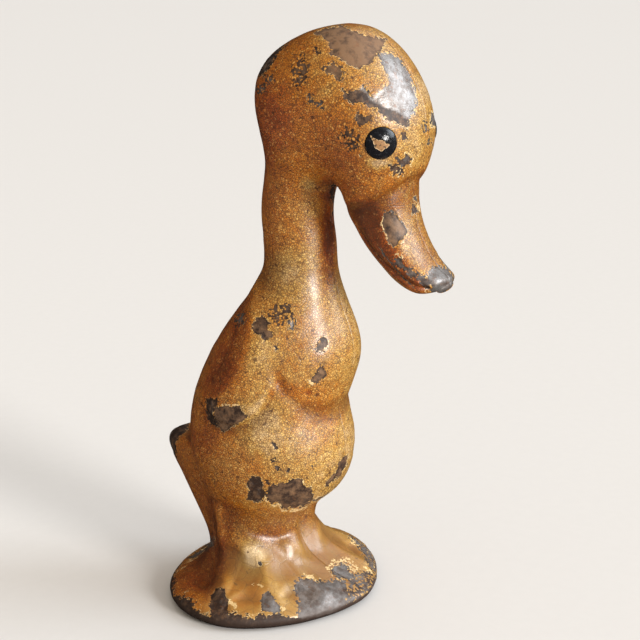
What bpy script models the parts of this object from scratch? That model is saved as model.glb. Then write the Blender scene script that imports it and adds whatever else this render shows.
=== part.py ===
"""Cast iron duckling: two hollow half castings closed by one screw, with a domed stud for each eye.

The duckling stands on its base at z = 0, faces -Y and has its right side at -X. The origin is the middle
of its length and width, on the floor. Sizes are in millimetres until a mesh is made.

The skin is a loft through oval ribs. A rib is drawn on the line from a front point to a back point of the
plane of symmetry, both given as (forward, height). In the base, body and neck the ribs lie flat; in the head
they fan out about the throat; in the bill they run from its underside to its top.
"""

import math
from dataclasses import dataclass

import bmesh
import bpy
import numpy as np
from mathutils import Matrix
from mathutils import Vector

MM = 0.001

# Castings
SEAM_GAP = 0.3
CLEARANCE = 0.3
WALL = 4.6
FLOOR = 5.0
SOLID_FACE = 0.6

# Joining screw, put in from the left side
SCREW_FORWARD = -1.0
SCREW_HEIGHT = 31.0
SCREW_SPOT = (SCREW_FORWARD, 0.0, SCREW_HEIGHT)
SCREW_RADIUS = 2.0
SCREW_REACH = 9.0
SCREW_HEAD_RADIUS = 3.7
SCREW_HEAD_DEPTH = 2.2
SCREW_HEAD_SINK = 0.5
SCREW_RIM = 0.4
SLOT_WIDTH = 0.9
SLOT_DEPTH = 0.9
SCREW_POINT = 0.5
BOSS_WALL = 2.8
BOSS_HALF_LENGTH = 40.0
CUTTER_OVERRUN = 6.0

# Locating pegs on the right half, in sockets of the left half
PEG_RADIUS = 1.2
PEG_LENGTH = 2.2
BACK_PEG_RIBS = (12.0, 24.0)
FRONT_PEG_RIBS = (15.0,)

# Eye studs, placed by ribs above the bill and by degrees of turn from the front line
EYE_ABOVE_BILL = 0.9
EYE_TURN = 116.0
EYE_RADIUS = 3.4
EYE_DOME = 1.9
EYE_SEAT = 1.0
EYE_SHANK_RADIUS = 1.3
EYE_SHANK_LENGTH = 2.4

# Reliefs of the skin
TAIL_REACH = 10.2
TAIL_LIFT = 0.26
TAIL_HEIGHT = 26.4
TAIL_WIDTH = 12.5
TAIL_ABOVE = 6.8
TAIL_BELOW = 18.5
TAIL_FULLNESS = 2.3
TAIL_ROOT = 3.0
TAIL_ROOT_SPAN = 9.0
WING_TOP = (7.2, 67.0)
WING_TIP = (-2.2, 42.0)
WING_REAR = 4.6
WING_FORE = 6.6
WING_FORE_TAPER = 1.6
WING_RISE = 1.9
WING_TILT = 0.04
WING_EDGE = 1.2
WING_ROUND_FROM = 0.72
WING_FADE_MIDDLE = 0.36
WING_FADE_SPAN = 0.5
WING_CLEAR_OF_SEAM = 4.0
VALLEY_HEIGHT = 43.4
VALLEY_CLIMB = 8.6
VALLEY_REACH = 7.5
VALLEY_FRONT = 16.6
VALLEY_DEPTH = 0.6
VALLEY_WIDTH = 2.4
VALLEY_END = 8.6
VALLEY_FADE = 1.8
LEG_GROOVE_DEPTH = 1.7
LEG_GROOVE_WIDTH = 2.4
LEG_GROOVE_FOOT = 9.0
LEG_GROOVE_TOP = 20.0
LEG_GROOVE_FADE = 3.0
LEG_GROOVE_BACK_SHARE = 0.6
HEEL = (-1.5, 6.6)
TOES = ((8.0, 21.0), (46.0, 18.6), (84.0, 17.0))
TOE_HEIGHT = 1.2
TOE_WIDTH = 2.2
TOE_ROOT = 5.0
TOE_END = 1.4
WEB_HEIGHT = 0.7
WEB_REACH = 16.2
WEB_SCALLOP = 1.6
WEB_EDGE_TURN = 8.0
WEB_EDGE = 1.2
FOOT_TOP = 12.5
FOOT_FADE = 3.5
FOOT_LOW = 2.4
FOOT_LOW_FADE = 0.8

# Fineness of the meshes
RIB_STEPS = 100
RIB_SIDES = 26
CORE_STEPS = 24
CORE_SIDES = 9
TURN_STEPS = 24
DOME_STEPS = 5
MERGE = 0.00001


@dataclass(frozen=True)
class Rib:
    """One oval of the loft."""

    front: tuple
    back: tuple
    half_width: float
    widest: float = 0.5
    front_power: float = 2.0
    back_power: float = 2.0

    def row(self):
        """The rib's values as one row of the loft's table."""
        return (*self.front, *self.back, self.half_width, self.widest, self.front_power, self.back_power)


BASE_RIBS = (
    Rib((21.8, 0.0), (-19.6, 0.0), 26.2, 0.5, 1.72, 2.05),
    Rib((23.0, 0.8), (-21.0, 0.8), 27.4, 0.5, 1.72, 2.05),
    Rib((23.4, 2.0), (-21.4, 2.0), 27.8, 0.5, 1.72, 2.05),
    Rib((22.2, 3.3), (-20.2, 3.3), 26.4, 0.5, 1.72, 2.05),
    Rib((17.6, 4.8), (-17.4, 4.8), 21.4, 0.5, 2.0, 2.05),
    Rib((12.8, 6.8), (-15.0, 6.8), 16.6, 0.5, 2.1, 2.1),
    Rib((9.8, 10.0), (-13.2, 10.0), 13.7, 0.5, 2.1, 2.1),
)
LEG_RIBS = (
    Rib((8.4, 14.0), (-12.9, 14.0), 12.8, 0.5, 2.2, 2.2),
    Rib((8.8, 18.0), (-13.4, 18.0), 12.7, 0.5, 2.2, 2.2),
)
BODY_RIBS = (
    Rib((12.0, 21.8), (-14.6, 21.8), 13.8, 0.5, 2.1, 2.1),
    Rib((15.4, 25.5), (-16.4, 25.5), 16.0, 0.5, 2.05),
    Rib((17.6, 31.0), (-18.2, 31.0), 17.4),
    Rib((17.6, 37.0), (-18.6, 37.0), 17.6),
    Rib((16.6, 43.0), (-17.8, 43.0), 16.8),
    Rib((17.8, 49.0), (-15.6, 49.0), 16.4, 0.52),
    Rib((19.4, 55.0), (-12.8, 55.0), 15.6, 0.54),
    Rib((18.4, 61.0), (-9.0, 61.0), 13.8, 0.54),
)
NECK_RIBS = (
    Rib((16.0, 67.0), (-4.6, 67.0), 11.0, 0.54),
    Rib((14.4, 73.0), (-1.4, 73.0), 8.4, 0.52),
    Rib((14.0, 79.5), (-1.4, 79.5), 7.6),
    Rib((13.2, 85.0), (-1.6, 87.0), 8.0),
)
HEAD_RIBS = (
    Rib((13.2, 88.8), (-0.2, 97.2), 9.4, 0.55),
    Rib((13.8, 91.0), (-0.6, 108.4), 12.6, 0.56),
    Rib((14.8, 91.8), (2.4, 118.7), 14.8, 0.56, 2.0, 2.2),
    Rib((16.0, 91.8), (17.4, 124.1), 15.0, 0.56),
    Rib((17.0, 91.2), (28.4, 118.6), 14.2, 0.56),
    Rib((17.8, 90.0), (34.2, 107.8), 12.6, 0.56),
    Rib((18.4, 88.4), (34.0, 98.0), 10.4, 0.52, 2.1, 2.2),
)
BILL_RIBS = (
    Rib((19.4, 86.2), (32.4, 92.4), 8.2, 0.45, 2.3, 2.4),
    Rib((21.6, 83.0), (32.8, 87.6), 7.5, 0.4, 2.3, 2.4),
    Rib((24.4, 79.4), (33.8, 83.6), 7.4, 0.4, 2.3, 2.4),
    Rib((28.2, 75.8), (35.8, 79.6), 7.4, 0.4, 2.3, 2.4),
    Rib((32.0, 73.0), (38.4, 76.6), 7.2, 0.4, 2.3, 2.4),
    Rib((35.6, 71.6), (40.4, 75.0), 6.0, 0.4, 2.2, 2.2),
    Rib((38.6, 72.0), (40.8, 73.8), 3.0, 0.4, 2.1, 2.1),
)
FLAT_RIBS = BASE_RIBS + LEG_RIBS + BODY_RIBS
FIGURE_RIBS = FLAT_RIBS + NECK_RIBS + HEAD_RIBS
RIBS = FIGURE_RIBS + BILL_RIBS
LAST_HEAD_RIB = len(FIGURE_RIBS) - 1.0


def rib_values(numbers):
    """Values of the ribs at any rib numbers, on a natural cubic through the table of ribs."""
    table = np.array([rib.row() for rib in RIBS])
    count = len(table)
    inner = np.arange(1, count - 1)
    system = np.eye(count)
    system[inner, inner - 1] = 1.0
    system[inner, inner] = 4.0
    system[inner, inner + 1] = 1.0
    bends = np.zeros_like(table)
    bends[1:-1] = 6.0 * (table[:-2] - 2.0 * table[1:-1] + table[2:])
    bends = np.linalg.solve(system, bends)
    numbers = np.atleast_1d(np.asarray(numbers, float))
    low = np.clip(numbers.astype(int), 0, count - 2)
    t = (numbers - low)[:, None]
    straight = (1 - t) * table[low] + t * table[low + 1]
    bend_low = ((1 - t) ** 3 - (1 - t)) * bends[low] / 6.0
    bend_high = (t ** 3 - t) * bends[low + 1] / 6.0
    return straight + bend_low + bend_high


def inset(values, wall):
    """Rib values drawn in by a wall at the front, the back and both sides."""
    drawn = values.copy()
    along = values[:, 2:4] - values[:, 0:2]
    along /= np.linalg.norm(along, axis=1, keepdims=True)
    drawn[:, 0:2] += along * wall
    drawn[:, 2:4] -= along * wall
    drawn[:, 4] -= wall
    return drawn


def ovals(values, turns):
    """Points (forward, side, height) of each rib at each turn; turn 0 is the front line, pi the back line."""
    front = values[:, None, 0:2]
    back = values[:, None, 2:4]
    half_width = values[:, None, 4]
    widest = values[:, None, 5]
    cosine = np.cos(turns)[None, :]
    sine = np.sin(turns)[None, :]
    power = np.where(cosine > 0, values[:, None, 6], values[:, None, 7])
    radius = (np.abs(cosine) ** power + np.abs(sine) ** power) ** (-1.0 / power)
    fore = cosine * radius
    along = np.where(fore > 0, widest * (1 - fore), widest - fore * (1 - widest))
    middle = front + along[..., None] * (back - front)
    side = half_width * sine * radius
    return np.stack([middle[..., 0], side, middle[..., 1]], axis=-1)


def ramp(value):
    """Smooth step from 0 at -1 to 1 at +1."""
    t = np.clip(value * 0.5 + 0.5, 0.0, 1.0)
    return t * t * (3.0 - 2.0 * t)


def hump(value):
    """Bell curve of height 1."""
    return np.exp(-value * value)


def with_tail(points):
    """The points with the tail pulled out of the back, up and to the rear."""
    forward, side, height = np.moveaxis(points, -1, 0)
    above = (1 - np.clip((height - TAIL_HEIGHT) / TAIL_ABOVE, 0, 1) ** 2) ** 0.8
    below = (1 - np.clip((TAIL_HEIGHT - height) / TAIL_BELOW, 0, 1) ** TAIL_FULLNESS) ** 1.4
    across = (1 - np.clip(np.abs(side) / TAIL_WIDTH, 0, 1) ** 2) ** 1.4
    rear = np.clip((-forward - TAIL_ROOT) / TAIL_ROOT_SPAN, 0.0, 1.0)
    pull = TAIL_REACH * above * below * across * rear
    moved = points.copy()
    moved[..., 0] -= pull * math.sqrt(1.0 - TAIL_LIFT ** 2)
    moved[..., 2] += pull * TAIL_LIFT
    return moved


def wing_rise(forward, side, height):
    """Height of the folded wing over the flank, from the shoulder down to its round tip."""
    reach = math.dist(WING_TOP, WING_TIP)
    down = ((WING_TIP[0] - WING_TOP[0]) / reach, (WING_TIP[1] - WING_TOP[1]) / reach)
    from_top = forward - WING_TOP[0]
    from_top_height = height - WING_TOP[1]
    share = (from_top * down[0] + from_top_height * down[1]) / reach
    across = -from_top * down[1] + from_top_height * down[0]
    past = np.clip(share - WING_ROUND_FROM, 0, 1) / (1 - WING_ROUND_FROM)
    tip = np.sqrt(np.clip(1 - past ** 2, 0, 1))
    rear_edge = ramp((across + WING_REAR * tip) / WING_EDGE)
    fore_edge = ramp(((WING_FORE - WING_FORE_TAPER * np.clip(share, 0, 1)) * tip - across) / WING_EDGE)
    tip_edge = ramp((1.0 - share) * reach / WING_EDGE)
    rise = WING_RISE * ramp((share - WING_FADE_MIDDLE) / WING_FADE_SPAN) * (0.75 - WING_TILT * across)
    return rise * rear_edge * fore_edge * tip_edge * ramp((np.abs(side) - WING_CLEAR_OF_SEAM) / 2.0)


def valley_depth(forward, height):
    """Fold between breast and belly, which climbs from the front to the wing's lower edge."""
    back_from_front = np.clip((VALLEY_FRONT - forward) / VALLEY_REACH, 0, 2)
    line = VALLEY_HEIGHT + VALLEY_CLIMB * back_from_front ** 1.5
    return VALLEY_DEPTH * hump((height - line) / VALLEY_WIDTH) * ramp((forward - VALLEY_END) / VALLEY_FADE)


def leg_groove(forward, side, height):
    """Groove that parts the two legs, deeper at the front."""
    window = ramp((height - LEG_GROOVE_FOOT) / LEG_GROOVE_FADE)
    window = window * ramp((LEG_GROOVE_TOP - height) / LEG_GROOVE_FADE)
    depth = LEG_GROOVE_DEPTH * np.where(forward > 0, 1.0, LEG_GROOVE_BACK_SHARE)
    return depth * hump(side / LEG_GROOVE_WIDTH) * window


def foot_height(forward, side, height):
    """Height of the webbed feet over the flare of the base: three toes and a web on each side."""
    ahead = forward - HEEL[0]
    out = np.abs(side) - HEEL[1]
    reach = np.hypot(ahead, out)
    turn = np.degrees(np.arctan2(out, ahead))
    toes = np.zeros_like(forward)
    for angle, length in TOES:
        cosine = math.cos(math.radians(angle))
        sine = math.sin(math.radians(angle))
        along = ahead * cosine + out * sine
        across = out * cosine - ahead * sine
        toe = TOE_HEIGHT * hump(across / TOE_WIDTH) * ramp((along - TOE_ROOT) / TOE_ROOT)
        toes = np.maximum(toes, toe * ramp((length - along) / TOE_END))
    first = TOES[0][0]
    last = TOES[-1][0]
    waves = (len(TOES) - 1) * (turn - first) / (last - first)
    scallop = WEB_REACH + WEB_SCALLOP * np.cos(2 * math.pi * waves)
    web = WEB_HEIGHT * ramp((turn - first) / WEB_EDGE_TURN) * ramp((last - turn) / WEB_EDGE_TURN)
    web = web * ramp((scallop - reach) / WEB_EDGE) * ramp((reach - TOE_ROOT) / TOE_ROOT)
    raised = np.maximum(toes, web)
    return raised * ramp((FOOT_TOP - height) / FOOT_FADE) * ramp((height - FOOT_LOW) / FOOT_LOW_FADE)


def outward(points):
    """Unit normals of a half skin, kept in the plane of symmetry on the front and the back line."""
    along = np.gradient(points, axis=0)
    around = np.gradient(points, axis=1)
    normal = np.cross(around, along)
    normal[:, [0, -1], 1] = 0.0
    return normal / np.linalg.norm(normal, axis=-1, keepdims=True)


def half_skin(numbers, turns):
    """Points of the right half of the skin, with all its reliefs."""
    points = with_tail(ovals(rib_values(numbers), turns))
    forward, side, height = np.moveaxis(points, -1, 0)
    swell = wing_rise(forward, side, height) - valley_depth(forward, height)
    swell = swell - leg_groove(forward, side, height)
    points = points + outward(points) * swell[..., None]
    points[..., 2] += foot_height(forward, side, height)
    return points


def skin_grid():
    """The half skin at the fineness of the castings."""
    numbers = np.linspace(0.0, len(RIBS) - 1.0, RIB_STEPS + 1)
    return half_skin(numbers, np.linspace(0.0, math.pi, RIB_SIDES + 1))


SKIN = skin_grid()
MIDDLE = 0.5 * float(SKIN[..., 0].min() + SKIN[..., 0].max())


def place(point, hand=1):
    """A point (forward, side, height) in metres of the row's axes; hand is 1 for right and -1 for left."""
    forward, side, height = point
    return Vector((-hand * side * MM, (MIDDLE - forward) * MM, height * MM))


def seam_point(number, share):
    """A point of the plane of symmetry, a share of the way along a rib from front to back."""
    values = rib_values(number)[0]
    front = values[0:2]
    spot = front + share * (values[2:4] - front)
    return (float(spot[0]), 0.0, float(spot[1]))


def wall_middle(number, at_back):
    """The middle of the wall on the seam, at the front or the back of a rib."""
    values = rib_values(number)[0]
    share = WALL / 2 / math.dist(values[0:2], values[2:4])
    return seam_point(number, 1 - share if at_back else share)


def rib_at(height):
    """Rib number at a height, where the ribs lie flat."""
    numbers = np.linspace(0.0, len(FLAT_RIBS) - 1.0, 400)
    return float(np.interp(height, rib_values(numbers)[:, 1], numbers))


def flank(forward, height):
    """Half the width of the plain skin at a point of the side view, where the ribs lie flat."""
    oval = ovals(rib_values(rib_at(height)), np.linspace(math.pi, 0.0, 361))[0]
    return float(np.interp(forward, oval[:, 0], oval[:, 1]))


def new_object(name, mesh, collection):
    """An object with its mesh, in a collection."""
    item = bpy.data.objects.new(name, mesh)
    collection.objects.link(item)
    return item


def grid_mesh(name, rings):
    """A closed mesh through rings of equally many points, with a flat face on the first and the last ring."""
    shape = bmesh.new()
    loops = [[shape.verts.new(point) for point in ring] for ring in rings]
    for low, high in zip(loops[:-1], loops[1:]):
        for index in range(len(low)):
            after = (index + 1) % len(low)
            shape.faces.new((low[index], low[after], high[after], high[index]))
    shape.faces.new(loops[0][::-1])
    shape.faces.new(loops[-1])
    bmesh.ops.recalc_face_normals(shape, faces=shape.faces)
    mesh = bpy.data.meshes.new(name)
    shape.to_mesh(mesh)
    shape.free()
    return mesh


def half_casting(name, hand, collection):
    """The outside of one half, closed by the flat seam face half a gap from the plane of symmetry."""
    half = SKIN.copy()
    half[..., 1] += SEAM_GAP / 2
    rings = [[place(point, hand) for point in ring] for ring in half]
    casting = new_object(name, grid_mesh(name, rings), collection)
    casting.data.shade_smooth()
    casting.data.set_sharp_from_angle(angle=math.radians(40))
    return casting


def hollow_core(collection):
    """The hollow inside both halves, one wall in from the skin, with the screw's boss left standing."""
    numbers = np.linspace(rib_at(FLOOR), LAST_HEAD_RIB - SOLID_FACE, CORE_STEPS + 1)
    values = inset(rib_values(numbers), WALL)
    turns = np.linspace(0.0, 2.0 * math.pi, 2 * CORE_SIDES, endpoint=False)
    rings = [[place(point) for point in ring] for ring in ovals(values, turns)]
    core = new_object("hollow_core", grid_mesh("hollow_core", rings), collection)
    radius = SCREW_RADIUS + CLEARANCE + BOSS_WALL
    boss = seam_pin("boss", SCREW_SPOT, radius, BOSS_HALF_LENGTH, BOSS_HALF_LENGTH, collection)
    combine(core, boss, "DIFFERENCE")
    return core


def turned(name, profile, collection):
    """A turned piece from a profile of (radius, height) points, from its top down its outer side."""
    shape = bmesh.new()
    points = [shape.verts.new((radius * MM, 0.0, height * MM)) for radius, height in profile]
    for high, low in zip(points[:-1], points[1:]):
        shape.edges.new((high, low))
    mesh = bpy.data.meshes.new(name)
    shape.to_mesh(mesh)
    shape.free()
    piece = new_object(name, mesh, collection)
    screw = piece.modifiers.new("turn", "SCREW")
    screw.axis = "Z"
    screw.steps = TURN_STEPS
    screw.render_steps = TURN_STEPS
    screw.use_merge_vertices = True
    screw.merge_threshold = MERGE
    screw.use_smooth_shade = True
    return piece


def combine(piece, other, operation):
    """A live Boolean of two pieces with the exact solver."""
    step = piece.modifiers.new(f"{operation.lower()}_{other.name}", "BOOLEAN")
    step.operation = operation
    step.object = other
    step.solver = "EXACT"


def across_seam(spot):
    """Place of a piece that crosses the seam: its z axis points left, z = 0 on the seam."""
    return Matrix.Translation(place(spot)) @ Matrix.Rotation(math.radians(90), 4, "Y")


def screw_top():
    """Distance of the screw's flat top from the seam."""
    return flank(SCREW_FORWARD, SCREW_HEIGHT) - SCREW_HEAD_SINK


def joining_screw(collection, guides):
    """Countersunk slotted screw."""
    top = screw_top()
    profile = [
        (0.0, top),
        (SCREW_HEAD_RADIUS, top),
        (SCREW_HEAD_RADIUS, top - SCREW_RIM),
        (SCREW_RADIUS, top - SCREW_HEAD_DEPTH),
        (SCREW_RADIUS, SCREW_POINT - SCREW_REACH),
        (SCREW_RADIUS - SCREW_POINT, -SCREW_REACH),
        (0.0, -SCREW_REACH),
    ]
    screw = turned("joining_screw", profile, collection)
    screw.matrix_world = across_seam(SCREW_SPOT)
    shape = bmesh.new()
    bmesh.ops.create_cube(shape, size=1.0)
    slot_size = Vector((SLOT_WIDTH, 4 * SCREW_HEAD_RADIUS, 2 * SLOT_DEPTH)) * MM
    bmesh.ops.scale(shape, verts=shape.verts, vec=slot_size)
    mesh = bpy.data.meshes.new("screw_slot")
    shape.to_mesh(mesh)
    shape.free()
    slot = new_object("screw_slot", mesh, guides)
    slot.matrix_world = across_seam(SCREW_SPOT) @ Matrix.Translation((0.0, 0.0, top * MM))
    combine(screw, slot, "DIFFERENCE")
    return screw


def screw_hole(collection):
    """Countersunk hole through the left half, and its blind end in the right half."""
    top = screw_top()
    head = SCREW_HEAD_RADIUS + CLEARANCE
    shank = SCREW_RADIUS + CLEARANCE
    profile = [
        (0.0, top + CUTTER_OVERRUN),
        (head, top + CUTTER_OVERRUN),
        (head, top - SCREW_RIM),
        (shank, top - SCREW_HEAD_DEPTH),
        (shank, -SCREW_REACH - CLEARANCE),
        (0.0, -SCREW_REACH - CLEARANCE),
    ]
    hole = turned("screw_hole", profile, collection)
    hole.matrix_world = across_seam(SCREW_SPOT)
    return hole


def eye_place(hand):
    """Place of an eye: its origin on the skin, its z axis along the skin's normal."""
    nudges = np.array([-0.02, 0.0, 0.02])
    numbers = LAST_HEAD_RIB - EYE_ABOVE_BILL + nudges
    patch = ovals(rib_values(numbers), math.radians(EYE_TURN) + nudges)
    along = place(patch[2, 1], hand) - place(patch[0, 1], hand)
    around = place(patch[1, 2], hand) - place(patch[1, 0], hand)
    out = (along.cross(around) * hand).normalized()
    turned_out = out.to_track_quat("Z", "Y").to_matrix().to_4x4()
    return Matrix.Translation(place(patch[1, 1], hand)) @ turned_out


def eye_stud(name, hand, collection):
    """Eye with a round dome, a short flange in its seat and a shank."""
    ball = (EYE_RADIUS ** 2 + EYE_DOME ** 2) / (2 * EYE_DOME)
    widest = math.asin(min(1.0, EYE_RADIUS / ball))
    angles = [widest * step / DOME_STEPS for step in range(DOME_STEPS + 1)]
    dome = [(ball * math.sin(angle), EYE_DOME - ball + ball * math.cos(angle)) for angle in angles]
    under = CLEARANCE - EYE_SEAT
    shank = [
        (EYE_RADIUS, under),
        (EYE_SHANK_RADIUS, under),
        (EYE_SHANK_RADIUS, under - EYE_SHANK_LENGTH),
        (0.0, under - EYE_SHANK_LENGTH),
    ]
    stud = turned(name, dome + shank, collection)
    stud.matrix_world = eye_place(hand)
    return stud


def eye_socket(name, hand, collection):
    """Round seat and blind hole for an eye stud."""
    seat = EYE_RADIUS + CLEARANCE
    hole = EYE_SHANK_RADIUS + CLEARANCE
    profile = [
        (0.0, CUTTER_OVERRUN),
        (seat, CUTTER_OVERRUN),
        (seat, -EYE_SEAT),
        (hole, -EYE_SEAT),
        (hole, -EYE_SEAT - EYE_SHANK_LENGTH),
        (0.0, -EYE_SEAT - EYE_SHANK_LENGTH),
    ]
    socket = turned(name, profile, collection)
    socket.matrix_world = eye_place(hand)
    return socket


def seam_pin(name, spot, radius, rightward, leftward, collection):
    """Pin across the seam, which reaches a length into each half."""
    profile = [(0.0, leftward), (radius, leftward), (radius, -rightward), (0.0, -rightward)]
    pin = turned(name, profile, collection)
    pin.matrix_world = across_seam(spot)
    return pin


def finish(name, colour, roughness, metallic):
    """A plain material."""
    material = bpy.data.materials.new(name)
    material.use_nodes = True
    shader = material.node_tree.nodes["Principled BSDF"]
    shader.inputs["Base Color"].default_value = (*colour, 1.0)
    shader.inputs["Roughness"].default_value = roughness
    shader.inputs["Metallic"].default_value = metallic
    return material


def clear_scene():
    """Removes every object of the scene."""
    for item in list(bpy.data.objects):
        bpy.data.objects.remove(item, do_unlink=True)


def new_collection(name):
    """A collection in the scene."""
    collection = bpy.data.collections.new(name)
    bpy.context.scene.collection.children.link(collection)
    return collection


def main():
    """Builds the duckling."""
    clear_scene()
    duckling = new_collection("cast_iron_duckling")
    guides = new_collection("cutters")

    right = half_casting("right_half_casting", 1, duckling)
    left = half_casting("left_half_casting", -1, duckling)
    core = hollow_core(guides)
    hole = screw_hole(guides)
    for casting in (right, left):
        combine(casting, core, "DIFFERENCE")
        combine(casting, hole, "DIFFERENCE")
    combine(right, eye_socket("right_eye_socket", 1, guides), "DIFFERENCE")
    combine(left, eye_socket("left_eye_socket", -1, guides), "DIFFERENCE")

    spots = [wall_middle(number, True) for number in BACK_PEG_RIBS]
    spots += [wall_middle(number, False) for number in FRONT_PEG_RIBS]
    for index, spot in enumerate(spots):
        peg = seam_pin(f"peg_{index}", spot, PEG_RADIUS, PEG_LENGTH, PEG_LENGTH, guides)
        wide = PEG_RADIUS + CLEARANCE
        socket = seam_pin(f"socket_{index}", spot, wide, PEG_LENGTH, PEG_LENGTH + CLEARANCE, guides)
        combine(right, peg, "UNION")
        combine(left, socket, "DIFFERENCE")

    screw = joining_screw(duckling, guides)
    eyes = [eye_stud("right_eye", 1, duckling), eye_stud("left_eye", -1, duckling)]

    enamel = finish("ochre_enamel_on_iron", (0.42, 0.21, 0.055), 0.42, 0.0)
    steel = finish("dark_steel", (0.09, 0.075, 0.065), 0.45, 0.8)
    black = finish("black_gloss", (0.012, 0.012, 0.014), 0.16, 0.0)
    for casting in (right, left):
        casting.data.materials.append(enamel)
    screw.data.materials.append(steel)
    for eye in eyes:
        eye.data.materials.append(black)
    for guide in guides.objects:
        guide.hide_render = True
        guide.display_type = "WIRE"


main()
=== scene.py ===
"""Looks of the cast iron duckling paperweight: two painted half castings, their screw and the two eye studs.

Shapes are worked out in millimetres as (forward, side, height), with the side positive on the duckling's
right, and `place` turns them into the row's metres. The skin is a loft of oval ribs with reliefs on it. The
worn places of the paint are outlines in pixels of the photograph, carried on to the skin by the photograph's
own viewpoint, and round blots where the photograph doesn't reach.
"""

import logging
import math
from abc import ABC, abstractmethod
from dataclasses import dataclass, field
from enum import Enum
from typing import Callable, Mapping, Sequence

import bpy
import numpy as np
from mathutils import Matrix, Vector


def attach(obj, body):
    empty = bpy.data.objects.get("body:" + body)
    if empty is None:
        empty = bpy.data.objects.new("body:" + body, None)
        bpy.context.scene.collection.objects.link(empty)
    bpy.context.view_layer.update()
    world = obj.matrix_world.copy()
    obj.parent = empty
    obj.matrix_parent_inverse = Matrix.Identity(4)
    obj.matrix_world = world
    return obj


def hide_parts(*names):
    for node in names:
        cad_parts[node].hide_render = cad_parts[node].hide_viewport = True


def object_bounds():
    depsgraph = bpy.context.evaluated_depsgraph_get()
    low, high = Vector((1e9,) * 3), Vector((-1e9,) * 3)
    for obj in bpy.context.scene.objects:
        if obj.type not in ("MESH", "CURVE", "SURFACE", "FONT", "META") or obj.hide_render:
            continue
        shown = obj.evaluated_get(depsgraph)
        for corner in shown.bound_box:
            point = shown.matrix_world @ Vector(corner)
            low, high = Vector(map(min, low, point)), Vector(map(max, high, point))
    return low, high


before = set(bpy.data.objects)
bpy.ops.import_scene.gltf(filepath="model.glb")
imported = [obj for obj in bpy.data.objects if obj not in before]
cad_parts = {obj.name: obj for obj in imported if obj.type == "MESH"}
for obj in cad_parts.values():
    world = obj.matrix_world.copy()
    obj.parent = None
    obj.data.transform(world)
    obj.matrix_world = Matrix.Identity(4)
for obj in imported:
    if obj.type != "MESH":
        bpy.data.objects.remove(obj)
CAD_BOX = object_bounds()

Array = np.ndarray
Colour = tuple[float, float, float]
Pixel = tuple[float, float]
Spot = tuple[float, float, float]
Outline = tuple[Pixel, ...]
Layer = tuple[float, float, int]
Layers = tuple[Layer, ...]
Body = bpy.types.Object
Material = bpy.types.Material
Mesh = bpy.types.Mesh
Socket = bpy.types.NodeSocket

LOG = logging.getLogger("duckling")
MM = 0.001
LATTICE_SHIFT = 7.3


class Side(Enum):
    """The side of the duckling that a piece belongs to."""

    RIGHT = 1
    LEFT = -1

    def word(self) -> str:
        """The side's name in lower case."""
        return self.name.lower()


class Cut(Enum):
    """How a second body changes a casting."""

    TAKE = "DIFFERENCE"
    ADD = "UNION"


def linked(name: str, data: bpy.types.ID) -> Body:
    """A new object with its data, linked into the scene."""
    made = bpy.data.objects.new(name, data)
    bpy.context.scene.collection.objects.link(made)
    return made


def ramp(value: Array) -> Array:
    """Smooth step from 0 at -1 to 1 at +1."""
    t = np.clip(value * 0.5 + 0.5, 0.0, 1.0)
    return t * t * (3.0 - 2.0 * t)


def hump(value: Array) -> Array:
    """Bell curve of height 1."""
    return np.exp(-value * value)


def circle(count: int) -> Array:
    """Angles evenly spread round a circle."""
    return np.linspace(0.0, 2.0 * math.pi, count, endpoint=False)


def folded(points: Array) -> Array:
    """Points (forward, side, height) with the left side turned over on to the right."""
    return np.stack([points[..., 0], np.abs(points[..., 1]), points[..., 2]], axis=-1)


@dataclass(frozen=True)
class Rib:
    """One oval of the loft, on the line from a front point to a back point (forward, height)."""

    front: tuple[float, float]
    back: tuple[float, float]
    half_width: float
    widest: float = 0.5
    front_power: float = 2.0
    back_power: float = 2.0

    def row(self) -> tuple[float, ...]:
        """The rib's values as one row of the loft's table."""
        return (*self.front, *self.back, self.half_width, self.widest, self.front_power, self.back_power)


BASE_RIBS = (
    Rib((21.8, 0.0), (-19.6, 0.0), 26.2, 0.5, 1.72, 2.05),
    Rib((23.0, 0.8), (-21.0, 0.8), 27.4, 0.5, 1.72, 2.05),
    Rib((23.4, 2.0), (-21.4, 2.0), 27.8, 0.5, 1.72, 2.05),
    Rib((22.2, 3.3), (-20.2, 3.3), 26.4, 0.5, 1.72, 2.05),
    Rib((17.6, 4.8), (-17.4, 4.8), 21.4, 0.5, 2.0, 2.05),
    Rib((12.8, 6.8), (-15.0, 6.8), 16.6, 0.5, 2.1, 2.1),
    Rib((9.8, 10.0), (-13.2, 10.0), 13.7, 0.5, 2.1, 2.1),
)
LEG_RIBS = (
    Rib((8.4, 14.0), (-12.9, 14.0), 12.8, 0.5, 2.2, 2.2),
    Rib((8.8, 18.0), (-13.4, 18.0), 12.7, 0.5, 2.2, 2.2),
)
BODY_RIBS = (
    Rib((12.0, 21.8), (-14.6, 21.8), 13.8, 0.5, 2.1, 2.1),
    Rib((15.4, 25.5), (-16.4, 25.5), 16.0, 0.5, 2.05),
    Rib((17.6, 31.0), (-18.2, 31.0), 17.4),
    Rib((17.6, 37.0), (-18.6, 37.0), 17.6),
    Rib((16.6, 43.0), (-17.8, 43.0), 16.8),
    Rib((17.8, 49.0), (-15.6, 49.0), 16.4, 0.52),
    Rib((19.4, 55.0), (-12.8, 55.0), 15.6, 0.54),
    Rib((18.4, 61.0), (-9.0, 61.0), 13.8, 0.54),
)
NECK_RIBS = (
    Rib((16.0, 67.0), (-4.6, 67.0), 11.0, 0.54),
    Rib((14.4, 73.0), (-1.4, 73.0), 8.4, 0.52),
    Rib((14.0, 79.5), (-1.4, 79.5), 7.6),
    Rib((13.2, 85.0), (-1.6, 87.0), 8.0),
)
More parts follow.
